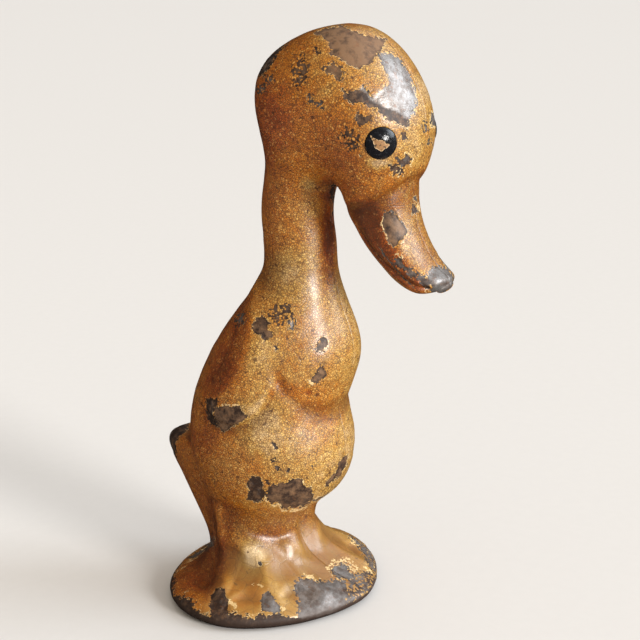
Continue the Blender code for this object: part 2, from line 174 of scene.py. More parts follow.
HEAD_RIBS = (
    Rib((13.2, 88.8), (-0.2, 97.2), 9.4, 0.55),
    Rib((13.8, 91.0), (-0.6, 108.4), 12.6, 0.56),
    Rib((14.8, 91.8), (2.4, 118.7), 14.8, 0.56, 2.0, 2.2),
    Rib((16.0, 91.8), (17.4, 124.1), 15.0, 0.56),
    Rib((17.0, 91.2), (28.4, 118.6), 14.2, 0.56),
    Rib((17.8, 90.0), (34.2, 107.8), 12.6, 0.56),
    Rib((18.4, 88.4), (34.0, 98.0), 10.4, 0.52, 2.1, 2.2),
)
BILL_RIBS = (
    Rib((19.4, 86.2), (32.4, 92.4), 8.2, 0.45, 2.3, 2.4),
    Rib((21.6, 83.0), (32.8, 87.6), 7.5, 0.4, 2.3, 2.4),
    Rib((24.4, 79.4), (33.8, 83.6), 7.4, 0.4, 2.3, 2.4),
    Rib((28.2, 75.8), (35.8, 79.6), 7.4, 0.4, 2.3, 2.4),
    Rib((32.0, 73.0), (38.4, 76.6), 7.2, 0.4, 2.3, 2.4),
    Rib((35.6, 71.6), (40.4, 75.0), 6.0, 0.4, 2.2, 2.2),
    Rib((38.6, 72.0), (40.8, 73.8), 3.0, 0.4, 2.1, 2.1),
)
FLAT_RIBS = BASE_RIBS + LEG_RIBS + BODY_RIBS
FIGURE_RIBS = FLAT_RIBS + NECK_RIBS + HEAD_RIBS
RIBS = FIGURE_RIBS + BILL_RIBS
LAST_HEAD_RIB = len(FIGURE_RIBS) - 1.0

MIDDLE = RIBS[-1].back[0] + CAD_BOX[0].y / MM


def place(points: Array, side: Side = Side.RIGHT) -> Array:
    """Points (forward, side, height) in millimetres as the row's axes in metres, on one side of the seam."""
    forward, across, height = np.moveaxis(points, -1, 0)
    return np.stack([-side.value * across, MIDDLE - forward, height], axis=-1) * MM


def duckling_axes(vectors: Array) -> Array:
    """Vectors of the row's axes as (forward, side, height), with the side positive on the right."""
    return vectors[..., [1, 0, 2]] * np.array([-1.0, -1.0, 1.0])


@dataclass(frozen=True)
class Loft:
    """Ovals through a table of ribs, with the values between two ribs on a natural cubic."""

    ribs: tuple[Rib, ...]

    def values(self, numbers: Array) -> Array:
        """Values of the ribs at any rib numbers.

        Args:
            numbers: Rib numbers, whole ones being the ribs of the table.

        Returns:
            One row of rib values for each number, from the cubic whose second differences solve a
            tridiagonal system and are zero at both ends.
        """
        table = np.array([rib.row() for rib in self.ribs])
        count = len(table)
        inner = np.arange(1, count - 1)
        system = np.eye(count)
        system[inner, inner - 1] = 1.0
        system[inner, inner] = 4.0
        system[inner, inner + 1] = 1.0
        bends = np.zeros_like(table)
        bends[1:-1] = 6.0 * (table[:-2] - 2.0 * table[1:-1] + table[2:])
        bends = np.linalg.solve(system, bends)
        low = np.clip(numbers.astype(int), 0, count - 2)
        t = (numbers - low)[:, None]
        straight = (1 - t) * table[low] + t * table[low + 1]
        bend_low = ((1 - t) ** 3 - (1 - t)) * bends[low] / 6.0
        bend_high = (t ** 3 - t) * bends[low + 1] / 6.0
        return straight + bend_low + bend_high

    @staticmethod
    def ovals(values: Array, turns: Array) -> Array:
        """Points of each rib at each turn.

        Args:
            values: Rows of rib values.
            turns: Angles round the rib; 0 is the front line and pi the back line.

        Returns:
            Points (forward, side, height): a superellipse, |cos|^n + |sin|^n = 1 / r^n, whose widest
            place lies a share of the way from the front point to the back point.
        """
        front = values[:, None, 0:2]
        back = values[:, None, 2:4]
        cosine = np.cos(turns)[None, :]
        sine = np.sin(turns)[None, :]
        widest = values[:, None, 5]
        power = np.where(cosine > 0, values[:, None, 6], values[:, None, 7])
        radius = (np.abs(cosine) ** power + np.abs(sine) ** power) ** (-1.0 / power)
        fore = cosine * radius
        along = np.where(fore > 0, widest * (1 - fore), widest - fore * (1 - widest))
        middle = front + along[..., None] * (back - front)
        return np.stack([middle[..., 0], values[:, None, 4] * sine * radius, middle[..., 1]], axis=-1)

    def spread(self, rows: int) -> Array:
        """Rib numbers for a grid whose rows lie about equally far apart on the skin.

        Args:
            rows: How many rib numbers.

        Returns:
            The rib numbers, spread by the longest of the steps at the front, the flank and the back.
        """
        fine = np.linspace(0.0, len(self.ribs) - 1.0, 4000)
        lines = self.ovals(self.values(fine), np.array([0.0, 0.5 * math.pi, math.pi]))
        steps = np.linalg.norm(np.diff(lines, axis=0), axis=-1).max(axis=1)
        reach = np.concatenate([[0.0], np.cumsum(steps)])
        return np.interp(np.linspace(0.0, reach[-1], rows), reach, fine)

    @staticmethod
    def inset(values: Array, wall: float) -> Array:
        """Rib values drawn in by a wall at the front, the back and both sides."""
        drawn = values.copy()
        along = values[:, 2:4] - values[:, 0:2]
        along /= np.linalg.norm(along, axis=1, keepdims=True)
        drawn[:, 0:2] += along * wall
        drawn[:, 2:4] -= along * wall
        drawn[:, 4] -= wall
        return drawn

    def rib_at(self, height: float) -> float:
        """Rib number at a height, where the ribs lie flat."""
        numbers = np.linspace(0.0, len(FLAT_RIBS) - 1.0, 400)
        return float(np.interp(height, self.values(numbers)[:, 1], numbers))

    def flank(self, forward: float, height: float) -> float:
        """Half the width of the plain skin at a point of the side view, where the ribs lie flat."""
        oval = self.ovals(self.values(np.array([self.rib_at(height)])), np.linspace(math.pi, 0.0, 361))[0]
        return float(np.interp(forward, oval[:, 0], oval[:, 1]))


LOFT = Loft(RIBS)


def grain(points: Array, size: float, seed: int, lattice: int = 32) -> Array:
    """Smooth random values over space, blended from a seeded lattice of numbers.

    Args:
        points: Points in millimetres whose last axis is (forward, side, height).
        size: How far it takes a value to change.
        seed: Seed of the numbers.
        lattice: Numbers along each side of the lattice, which then repeats.

    Returns:
        Values from -1 to 1: the numbers of the eight corners round each point, blended by smooth steps.
    """
    numbers = np.random.default_rng(seed).uniform(-1.0, 1.0, (lattice,) * 3)
    scaled = points / size + LATTICE_SHIFT
    low = np.floor(scaled).astype(int)
    t = scaled - low
    t = t * t * (3.0 - 2.0 * t)
    total = np.zeros(points.shape[:-1])
    for corner in np.ndindex(2, 2, 2):
        weight = np.prod(np.where(np.array(corner) == 1, t, 1.0 - t), axis=-1)
        total += weight * numbers[tuple(np.moveaxis((low + np.array(corner)) % lattice, -1, 0))]
    return total


def grains(points: Array, layers: Layers) -> Array:
    """Sum of grains at points, from each one's amount, size in millimetres and seed."""
    return sum(amount * grain(points, size, seed) for amount, size, seed in layers)


@dataclass(frozen=True)
class Viewpoint:
    """Where the photograph was taken from, with the image taken as 640 x 640 pixels."""

    turn: float = 30.0
    rise: float = 15.0
    distance: float = 330.0
    focal: float = 1530.0
    aim: Spot = (0.0, 0.0, 60.0)
    centre: Pixel = (274.0, 323.0)
    image: float = 640.0
    sensor: float = 36.0

    def axes(self) -> tuple[Array, Array, Array]:
        """The view's right, up and backward directions as (forward, side, height)."""
        turn, rise = math.radians(self.turn), math.radians(self.rise)
        back = np.array([math.sin(turn) * math.cos(rise), math.cos(turn) * math.cos(rise), math.sin(rise)])
        right = np.array([math.cos(turn), -math.sin(turn), 0.0])
        return right, np.cross(right, back), back

    def eye(self) -> Array:
        """The camera's place as (forward, side, height)."""
        return np.array(self.aim) + self.axes()[2] * self.distance

    def project(self, points: Array) -> tuple[Array, Array, Array]:
        """Where points show in the photograph.

        Args:
            points: Points (forward, side, height) in millimetres.

        Returns:
            Pixel columns, pixel rows, and the size of one millimetre there in pixels.
        """
        right, up, back = self.axes()
        ray = points - self.eye()
        scale = -self.focal / (ray @ back)
        return self.centre[0] + scale * (ray @ right), self.centre[1] - scale * (ray @ up), scale

    def facing(self, points: Array, normals: Array) -> Array:
        """Cosine between each normal and the direction to the camera."""
        ray = self.eye() - points
        return np.sum(ray * normals, axis=-1) / np.linalg.norm(ray, axis=-1)

    def camera(self) -> Body:
        """The scene's camera, with the photograph's framing."""
        data = bpy.data.cameras.new("photograph_view")
        data.sensor_width = self.sensor
        data.lens = self.focal / self.image * self.sensor
        data.shift_x = 0.5 - self.centre[0] / self.image
        data.shift_y = self.centre[1] / self.image - 0.5
        data.clip_start = 0.01
        camera = linked("photograph_view", data)
        spot, aim = Vector(place(self.eye())), Vector(place(np.array(self.aim)))
        turned = (aim - spot).to_track_quat("-Z", "Y").to_matrix().to_4x4()
        camera.matrix_world = Matrix.Translation(spot) @ turned
        bpy.context.scene.camera = camera
        return camera


VIEWPOINT = Viewpoint()


class Relief(ABC):
    """A rise or a hollow of the skin, which is measured in millimetres along the skin's normal."""

    @abstractmethod
    def swell(self, points: Array) -> Array:
        """The rise at each point of the plain skin."""


@dataclass(frozen=True)
class Tail:
    """The short tail, pulled out of the back, up and to the rear."""

    reach: float = 10.2
    lift: float = 0.26
    height: float = 26.4
    width: float = 12.5
    above: float = 6.8
    below: float = 18.5
    fullness: float = 2.3
    root: float = 3.0
    root_span: float = 9.0

    def pulled(self, points: Array) -> Array:
        """The points moved by the reach times a round profile above, below and across the tail."""
        forward, side, height = np.moveaxis(points, -1, 0)
        above = (1 - np.clip((height - self.height) / self.above, 0, 1) ** 2) ** 0.8
        below = (1 - np.clip((self.height - height) / self.below, 0, 1) ** self.fullness) ** 1.4
        across = (1 - np.clip(np.abs(side) / self.width, 0, 1) ** 2) ** 1.4
        rear = np.clip((-forward - self.root) / self.root_span, 0.0, 1.0)
        pull = self.reach * above * below * across * rear
        moved = points.copy()
        moved[..., 0] -= pull * math.sqrt(1.0 - self.lift ** 2)
        moved[..., 2] += pull * self.lift
        return moved


@dataclass(frozen=True)
class Wing(Relief):
    """The folded wing over the flank, from the shoulder down to its round tip."""

    top: tuple[float, float] = (7.2, 67.0)
    tip: tuple[float, float] = (-2.2, 42.0)
    crest: float = 0.6
    crest_bow: float = 2.6
    crest_share: float = 0.54
    crest_span: float = 0.33
    rear_fall: float = 5.0
    fore: float = 8.4
    fore_taper: float = 3.2
    rise: float = 2.0
    edge: float = 1.1
    round_from: float = 0.72
    fade_middle: float = 0.12
    fade_span: float = 0.3
    crisp_from: float = 0.6
    crisp_span: float = 0.22
    clear_of_seam: float = 4.0
    seam_fade: float = 2.0

    def swell(self, points: Array) -> Array:
        """A slab that is highest along a bowed crest and falls evenly to the back from there.

        To the front it falls evenly too, and in a smooth step only near the round tip.
        """
        forward, side, height = np.moveaxis(points, -1, 0)
        reach = math.dist(self.top, self.tip)
        down = ((self.tip[0] - self.top[0]) / reach, (self.tip[1] - self.top[1]) / reach)
        from_top, from_top_height = forward - self.top[0], height - self.top[1]
        share = (from_top * down[0] + from_top_height * down[1]) / reach
        across = -from_top * down[1] + from_top_height * down[0]
        past = np.clip(share - self.round_from, 0, 1) / (1 - self.round_from)
        tip = np.sqrt(np.clip(1 - past ** 2, 0, 1))
        crest = -self.crest - self.crest_bow * ((share - self.crest_share) / self.crest_span) ** 2
        behind = np.hypot(np.clip(crest - across, 0.0, None), 0.5) - 0.5
        rear_edge = np.clip(1.0 - behind / self.rear_fall, 0.0, 1.0)
        fore_line = (self.fore - self.fore_taper * np.clip(share, 0, 1)) * tip
        even = ramp(2.0 * (fore_line - across) / (fore_line - crest) - 1.0)
        crisp = ramp((share - self.crisp_from) / self.crisp_span)
        fore_edge = even + (ramp((fore_line - across) / self.edge) - even) * crisp
        tip_edge = ramp((1.0 - share) * reach / self.edge)
        shoulder = ramp((share - self.fade_middle) / self.fade_span)
        clear = ramp((np.abs(side) - self.clear_of_seam) / self.seam_fade)
        return self.rise * shoulder * rear_edge * fore_edge * tip_edge * clear


@dataclass(frozen=True)
class Valley(Relief):
    """The fold between breast and belly, which climbs from the front to the wing's lower edge."""

    height: float = 43.4
    climb: float = 8.6
    reach: float = 7.5
    front: float = 16.6
    depth: float = 0.45
    width: float = 2.6
    end: float = 8.6
    fade: float = 1.8

    def swell(self, points: Array) -> Array:
        """A bell-shaped hollow about a line that climbs with the power 1.5 of the way back."""
        forward, _, height = np.moveaxis(points, -1, 0)
        line = self.height + self.climb * np.clip((self.front - forward) / self.reach, 0, 2) ** 1.5
        return -self.depth * hump((height - line) / self.width) * ramp((forward - self.end) / self.fade)


@dataclass(frozen=True)
class LegGroove(Relief):
    """The groove that parts the two legs, deeper at the front."""

    depth: float = 1.7
    width: float = 2.4
    foot: float = 9.0
    top: float = 20.0
    fade: float = 3.0
    back_share: float = 0.6

    def swell(self, points: Array) -> Array:
        """A bell-shaped hollow across the seam, within a window of heights."""
        forward, side, height = np.moveaxis(points, -1, 0)
        window = ramp((height - self.foot) / self.fade) * ramp((self.top - height) / self.fade)
        return -self.depth * np.where(forward > 0, 1.0, self.back_share) * hump(side / self.width) * window


@dataclass(frozen=True)
class Crest(Relief):
    """A soft ridge on both sides along a line of places; a negative rise is a furrow."""

    path: tuple[Spot, ...]
    rise: float
    width: float

    def swell(self, points: Array) -> Array:
        """A bell by the distance to the line, whose far side runs through the same places mirrored."""
        place_near = folded(points)
        best = np.full(points.shape[:-1], np.inf)
        for start, end in zip(np.array(self.path), np.array(self.path[1:])):
            run = end - start
            share = np.clip((place_near - start) @ run / (run @ run), 0.0, 1.0)
            best = np.minimum(best, np.linalg.norm(place_near - start - share[..., None] * run, axis=-1))
        return self.rise * hump(best / self.width)


@dataclass(frozen=True)
class MouthLine(Relief):
    """The line between the two halves of the bill, low on its side."""

    path: tuple[tuple[float, float], ...] = (
        (23.4, 84.4), (26.0, 81.2), (29.0, 78.4), (32.6, 76.0), (36.2, 74.0), (38.8, 73.2),
    )
    depth: float = 0.5
    width: float = 0.5
    inner: float = 4.6
    fade: float = 2.0

    def swell(self, points: Array) -> Array:
        """A bell-shaped groove by the distance to the path in the side view."""
        forward, side, height = np.moveaxis(points, -1, 0)
        groove = -self.depth * hump(path_distance(forward, height, self.path) / self.width)
        return groove * ramp(np.abs(side) - self.inner) * ramp((forward - self.path[0][0]) / self.fade)


@dataclass(frozen=True)
class CheekCrease(Relief):
    """The soft furrow where the face meets the bill, bent down towards the throat."""

    height: float = 94.6
    bend: float = 0.062
    depth: float = 0.45
    width: float = 1.3
    level: float = 2.0
    start: float = 20.0
    fade: float = 3.0
    span: float = 14.0
    drop: float = 5.5

    def swell(self, points: Array) -> Array:
        """A bell-shaped hollow about a line that drops with the square of the side and towards the rear."""
        forward, side, height = np.moveaxis(points, -1, 0)
        line = self.height - self.bend * np.clip(np.abs(side) - self.level, 0, None) ** 2
        line = line - (1 - np.clip((forward - self.start) / self.span, 0, 1)) * self.drop
        return -self.depth * hump((height - line) / self.width) * ramp((forward - self.start) / self.fade)


@dataclass(frozen=True)
class EyeRing(Relief):
    """The soft swelling of the face round each eye."""

    spot: Spot = (30.4, 11.3, 102.8)
    rise: float = 0.25
    inner: float = 4.2
    fade: float = 1.8

    def swell(self, points: Array) -> Array:
        """A plateau within the inner distance of the eye that falls off as a bell."""
        away = np.linalg.norm(folded(points) - np.array(self.spot), axis=-1)
        return self.rise * hump(np.clip(away - self.inner, 0, None) / self.fade)


@dataclass(frozen=True)
class Joint(Relief):
    """The closed joint of the castings under the paint, with a ragged fin of flash at the neck's front."""

    depth: float = 0.06
    width: float = 0.35
    fin: float = 1.1
    fin_width: float = 0.5
    fin_middle: float = 81.0
    fin_span: float = 7.0
    fin_fill: float = 0.55
    fin_grain: Layers = ((0.6, 1.6, 11),)
    fin_squash: Spot = (0.2, 0.0, 1.0)
    fin_front: float = 10.0
    fin_end: float = 20.0

    def swell(self, points: Array) -> Array:
        """A shallow bell-shaped groove along the seam, and a narrow ridge of random height on the neck."""
        forward, side, height = np.moveaxis(points, -1, 0)
        groove = -self.depth * hump(side / self.width)
        along = np.clip(1 - ((height - self.fin_middle) / self.fin_span) ** 2, 0, 1)
        front = ramp(forward - self.fin_front) * ramp(self.fin_end - forward)
        rough = np.clip(self.fin_fill + grains(points * np.array(self.fin_squash), self.fin_grain), 0, 1)
        return groove + self.fin * along ** 0.5 * rough * hump(side / self.fin_width) * front


@dataclass(frozen=True)
class Surface(Relief):
    """The uneven skin of a sand casting under several coats of paint."""

    layers: Layers = ((0.14, 7.0, 21), (0.05, 2.4, 22))

    def swell(self, points: Array) -> Array:
        """Two sizes of smooth random rise."""
        return grains(points, self.layers)


FOOT_CRESTS = (
    Crest(((-6.8, 12.4, 20.0), (-6.4, 12.6, 14.0), (-4.6, 15.5, 8.5), (-1.0, 20.5, 6.0)), 0.9, 1.8),
    Crest(((-10.5, 11.0, 15.0), (-9.0, 14.0, 9.0), (-6.5, 18.5, 6.2)), -0.7, 2.6),
    Crest(((-1.9, 12.8, 14.0), (5.0, 12.9, 9.4), (7.8, 16.1, 6.9)), 0.9, 2.6),
    Crest(((8.0, 6.2, 12.2), (9.0, 5.0, 10.8)), 0.5, 2.4),
    Crest(((2.0, 12.0, 15.6), (5.2, 9.5, 15.0), (7.5, 7.5, 14.6)), -0.45, 1.6),
)


@dataclass(frozen=True)
class Feet:
    """The webbed feet over the flare of the base: three toes and a web on each side."""

    heel: tuple[float, float] = (-1.5, 6.6)
    toes: tuple[tuple[float, float], ...] = ((8.0, 21.0), (46.0, 18.6), (84.0, 17.0))
    toe_height: float = 1.0
    toe_width: float = 2.7
    toe_root: float = 5.0
    toe_end: float = 1.4
    web_height: float = 0.9
    web_reach: float = 16.2
    scallop: float = 1.6
    web_turn: float = 8.0
    web_edge: float = 1.2
    top: float = 12.5
    top_fade: float = 3.5
    low: float = 2.4
    low_fade: float = 0.8

    def height(self, points: Array) -> Array:
        """Height of the feet: bell-shaped ridges along the toes, and a web whose edge waves between them."""
        forward, side, height = np.moveaxis(points, -1, 0)
        ahead, out = forward - self.heel[0], np.abs(side) - self.heel[1]
        reach, turn = np.hypot(ahead, out), np.degrees(np.arctan2(out, ahead))
        toes = np.zeros_like(forward)
        for angle, length in self.toes:
            cosine, sine = math.cos(math.radians(angle)), math.sin(math.radians(angle))
            along, across = ahead * cosine + out * sine, out * cosine - ahead * sine
            toe = self.toe_height * hump(across / self.toe_width)
            toe = toe * ramp((along - self.toe_root) / self.toe_root) * ramp((length - along) / self.toe_end)
            toes = np.maximum(toes, toe)
        first, last = self.toes[0][0], self.toes[-1][0]
        waves = (len(self.toes) - 1) * (turn - first) / (last - first)
        edge = self.web_reach + self.scallop * np.cos(2 * math.pi * waves)
        web = self.web_height * ramp((turn - first) / self.web_turn) * ramp((last - turn) / self.web_turn)
        web = web * ramp((edge - reach) / self.web_edge) * ramp((reach - self.toe_root) / self.toe_root)
        raised = np.maximum(toes, web)
        return raised * ramp((self.top - height) / self.top_fade) * ramp((height - self.low) / self.low_fade)


def path_distance(x: Array, y: Array, path: Sequence[Pixel], closed: bool = False) -> Array:
    """Distance from points to a line through a list of points.

    Args:
        x: First coordinate of the points.
        y: Second coordinate of the points.
        path: The line's own points.
        closed: Whether the line runs back to its first point.

    Returns:
        The least distance to any of the line's straight stretches.
    """
    ends = list(path[1:]) + ([path[0]] if closed else [])
    best = np.full(np.shape(x), np.inf)
    for (ax, ay), (bx, by) in zip(path, ends):
        run = (bx - ax) ** 2 + (by - ay) ** 2
        t = np.clip(((x - ax) * (bx - ax) + (y - ay) * (by - ay)) / run, 0, 1)
        best = np.minimum(best, np.hypot(x - ax - t * (bx - ax), y - ay - t * (by - ay)))
    return best


def inside(x: Array, y: Array, outline: Sequence[Pixel]) -> Array:
    """Whether points lie in an outline, by counting the edges that a level line from each point crosses."""
    crossed = np.zeros(np.shape(x), bool)
    for (ax, ay), (bx, by) in zip(outline, outline[1:] + outline[:1]):
        if ay != by:
            crossed ^= ((ay > y) != (by > y)) & (x < (bx - ax) * (y - ay) / (by - ay) + ax)
    return crossed


def depth_in(x: Array, y: Array, outline: Sequence[Pixel]) -> Array:
    """Distance to an outline, above zero inside it and below zero outside."""
    away = path_distance(x, y, outline, closed=True)
    return np.where(inside(x, y, outline), away, -away)


def ellipsoid(points: Array, middle: Spot, reach: Spot) -> Array:
    """Distance from the middle of an ellipsoid, as a share of its reach that way."""
    return np.linalg.norm((points - np.array(middle)) / np.array(reach), axis=-1)


# Grains that shake the columns and the rows of the marks, and that wave the edges of the blots.
SHAKES = (
    ((0.22, 0.9, 31), (0.12, 0.45, 32)),
    ((0.22, 0.9, 33), (0.12, 0.45, 34)),
    ((0.5, 2.2, 41), (0.25, 0.8, 42)),
)


@dataclass(frozen=True)
class Seen:
    """A skin as the photograph sees it: pixel places, pixels in a millimetre and how it faces the camera."""

    column: Array
    row: Array
    scale: Array
    facing: Array
    points: Array
    wave: Array

    @classmethod
    def of(cls, points: Array, normals: Array) -> "Seen":
        """The view of a skin from the photograph's viewpoint, with its places shaken by fine grains."""
        column, row, scale = VIEWPOINT.project(points)
        shake, lift, wave = (grains(points, layers) for layers in SHAKES)
        facing = VIEWPOINT.facing(points, normals)
        return cls(column + scale * shake, row + scale * lift, scale, facing, points, wave)

    def turned_off(self) -> Array:
        """Millimetres to take off a mark where the skin turns away from the camera."""
        return 8.0 * np.clip(0.06 - self.facing, 0, None)

    def in_view(self, limit: float = -0.05) -> Array:
        """Whether the skin faces the camera, or is just past its edge."""
        return self.facing > limit


class Mark(ABC):
    """A worn place of the paint, as a distance field: above zero inside it, in millimetres."""

    @abstractmethod
    def field(self, seen: Seen) -> Array:
        """The field over a skin."""


@dataclass(frozen=True)
class Chip(Mark):
    """A place with an outline in pixels of the photograph.

    cream is how far the pale undercoat shows round it and ragged how far its edge follows the crackle,
    both in millimetres; brown is how far a brown film covers the iron there, from 0 to 1. cap is the most
    that the field reaches, so that flakes of enamel stay where it is less than the raggedness.
    """

    outline: Outline
    cream: float = 0.05
    ragged: float = 0.3
    brown: float = 0.2
    cap: float = 3.0

    def field(self, seen: Seen) -> Array:
        """Signed distance to the outline, in millimetres of the skin."""
        deep = depth_in(seen.column, seen.row, self.outline) / seen.scale
        return np.minimum(deep, self.cap) - seen.turned_off()


@dataclass(frozen=True)
class Scratch(Mark):
    """A crack or a fringe along a line of pixels of the photograph, with half its width in millimetres."""

    path: Outline
    half_width: float = 0.2
    cream: float = 0.0
    ragged: float = 0.1
    brown: float = 0.1

    def field(self, seen: Seen) -> Array:
        """Half the width less the distance to the line."""
        away = path_distance(seen.column, seen.row, self.path) / seen.scale
        return self.half_width - away - seen.turned_off()


@dataclass(frozen=True)
class Blot(Mark):
    """A round or long worn place anywhere on the skin, from its middle and its half sizes in millimetres."""

    spot: Spot
    reach: Spot
    cream: float = 0.06
    ragged: float = 0.4
    brown: float = 0.3
    waviness: float = 1.9

    def field(self, seen: Seen) -> Array:
        """The depth in an ellipsoid, with a wavy edge."""
        away = ellipsoid(seen.points, self.spot, self.reach)
        return (1.0 - away) * min(self.reach) + self.waviness * seen.wave


@dataclass(frozen=True)
class Rim(Mark):
    """The bare edge of the base, worn up to a wandering height."""

    height: float = 2.8
    wander: Layers = ((0.8, 6.0, 51), (0.35, 1.3, 52))
    cream: float = 0.04
    ragged: float = 0.35
    brown: float = 0.5

    def field(self, seen: Seen) -> Array:
        """A random height less the height of the skin."""
        return self.height + grains(seen.points, self.wander) - seen.points[..., 2]


@dataclass(frozen=True)
class Dent:
    """A small hollow of the casting at a pixel of the photograph; a negative depth is a bump."""

    spot: Pixel
    radius: float
    depth: float

    def swell(self, seen: Seen) -> Array:
        """A bell about the pixel."""
        away = np.hypot(seen.column - self.spot[0], seen.row - self.spot[1]) / seen.scale
        return -self.depth * hump(away / self.radius) * seen.in_view(-0.1)


@dataclass(frozen=True)
class Shade:
    """A bell-shaped change of the enamel's tone, paler below zero and deeper above zero: paler or deeper
    enamel in some places and painted shade and highlights in others; among the stains, a heavier brown film
    on the iron.
    """

    spot: Pixel
    radius: tuple[float, float]
    amount: float

    def tone(self, seen: Seen) -> Array:
        """A bell about the pixel with its own width and height in pixels."""
        across = (seen.column - self.spot[0]) / self.radius[0]
        up = (seen.row - self.spot[1]) / self.radius[1]
        return self.amount * hump(np.hypot(across, up)) * seen.in_view()


@dataclass(frozen=True)
class OutlinePatch:
    """A place with an outline in pixels and a soft edge where the enamel's tone is paler (below zero) or
    deeper, mostly by painted shade and highlights; among the stains, a heavier brown film on the iron.
    """

    outline: Outline
    soft: float
    amount: float

    def tone(self, seen: Seen) -> Array:
        """A smooth step across the outline, as wide as the soft edge in pixels."""
        deep = depth_in(seen.column, seen.row, self.outline)
        return self.amount * ramp(deep / self.soft + 0.5) * seen.in_view()


@dataclass(frozen=True)
class Region:
    """A part of the body where the enamel is paler (below zero) or deeper (above zero), in millimetres."""

    spot: Spot
    reach: Spot
    amount: float

    def tone(self, seen: Seen) -> Array:
        """A bell about the place."""
        return self.amount * hump(ellipsoid(seen.points, self.spot, self.reach))


CROWN = (
    Chip(((314, 33), (327, 28), (342, 25), (362, 34), (375, 37), (387, 39), (384, 46), (379, 52), (371, 62),
          (359, 70), (351, 66), (342, 60), (337, 56), (330, 55), (331, 48), (328, 42), (322, 36)),
         0.05, 0.3, 1.2),
    Chip(((322, 70), (327, 65), (334, 62), (341, 65), (344, 72), (341, 81), (336, 79), (332, 75), (324, 74)),
         0.03, 0.5, 1.0),
    Chip(((379, 54), (390, 52), (401, 58), (409, 73), (415, 89), (417, 105), (415, 113), (409, 119),
          (408, 129), (404, 127), (399, 125), (392, 121), (386, 119), (382, 114), (376, 109), (369, 107),
          (366, 103), (360, 103), (353, 103), (346, 100), (342, 93), (342, 89), (348, 92), (357, 90),
          (364, 85), (369, 93), (374, 97), (380, 90), (390, 83), (387, 75), (382, 65)), 0.03, 0.4, 0.05),
    Chip(((357, 114), (360, 113), (364, 116), (370, 116), (372, 119), (368, 124), (362, 126), (356, 121)),
         0.04, 0.6, 0.7),
    Chip(((346, 128), (353, 131), (354, 139), (347, 138)), 0.0, 0.8, 0.6, 0.3),
    Chip(((352, 137), (359, 136), (361, 142), (354, 145)), 0.0, 0.7, 0.6, 0.3),
    Chip(((346, 144), (356, 142), (358, 149), (348, 150)), 0.0, 0.8, 0.6, 0.3),
    Chip(((340, 136), (345, 134), (346, 140), (341, 141)), 0.0, 0.9, 0.6, 0.2),
    Chip(((401, 133), (406, 132), (408, 139), (403, 141)), -0.1, 0.2, 0.4),
    Chip(((406, 154), (411, 157), (411, 162), (405, 166), (401, 168), (399, 164), (401, 160), (404, 158)),
         0.06, 0.25, 0.4),
    Chip(((396, 157), (400, 157), (401, 162), (397, 163)), -0.1, 0.2, 0.4),
    Chip(((390, 166), (397, 165), (404, 168), (401, 175), (393, 174)), 0.08, 0.5, 0.5, 0.4),
    Chip(((359, 155), (361, 155), (361, 157), (359, 157)), 0.05, 0.1),
    Chip(((424, 122), (428, 123), (428, 131), (424, 131)), 0.05, 0.6),
    Chip(((428, 138), (431, 139), (431, 145), (428, 144)), 0.05, 0.6),
    Chip(((431, 113), (436, 113), (437, 126), (431, 126)), 0.2, 0.3),
    Chip(((293, 70), (302, 56), (307, 66), (306, 77), (298, 86), (293, 77)), -0.05, 1.0, 0.75, 0.3),
    Chip(((250, 78), (258, 58), (272, 46), (284, 37), (287, 43), (278, 53), (272, 63), (263, 76)),
         0.02, 0.6, 0.45),
    Chip(((266, 75), (273, 75), (273, 82), (267, 82)), -0.1, 0.8, 0.2),
    Chip(((258, 86), (265, 86), (265, 93), (259, 93)), -0.1, 0.8, 0.2),
    Chip(((314, 48), (320, 48), (320, 54), (315, 54)), -0.1, 0.6, 0.5),
    Chip(((308, 96), (313, 96), (313, 102), (308, 102)), -0.1, 0.6, 0.3),
    Chip(((315, 103), (323, 102), (323, 107), (316, 107)), -0.1, 0.6, 0.3),
)
BILL = (
    Chip(((384, 213), (390, 213), (397, 215), (399, 219), (401, 222), (408, 229), (407, 234), (404, 237),
          (400, 241), (395, 247), (391, 245), (388, 241), (386, 235), (384, 230), (382, 225), (382, 220)),
         0.03, 0.25, 0.95),
    Chip(((411, 205), (416, 204), (418, 209), (417, 213), (412, 214)), 0.03, 0.25, 0.5),
    Chip(((413, 196), (416, 196), (416, 201), (413, 201)), 0.05, 0.2),
    Chip(((393, 258), (400, 258), (407, 266), (402, 271), (396, 265)), -0.1, 0.5, 0.4),
    Chip(((403, 268), (413, 268), (420, 277), (411, 279)), -0.1, 0.5, 0.4),
    Chip(((415, 276), (424, 273), (433, 283), (427, 289), (420, 284)), -0.1, 0.5, 0.3),
    Chip(((426, 275), (432, 267), (440, 265), (448, 269), (455, 276), (455, 290), (440, 297), (431, 294),
          (430, 284)), 0.02, 0.4, 0.0),
    Scratch(((401, 221), (404, 225), (408, 230)), 0.16),
    Scratch(((384, 212), (392, 211), (397, 214)), 0.14),
    Scratch(((379, 247), (383, 252), (385, 256)), 0.14),
    Scratch(((387, 258), (393, 265), (399, 273), (404, 279), (410, 284), (414, 288)), 0.13),
)
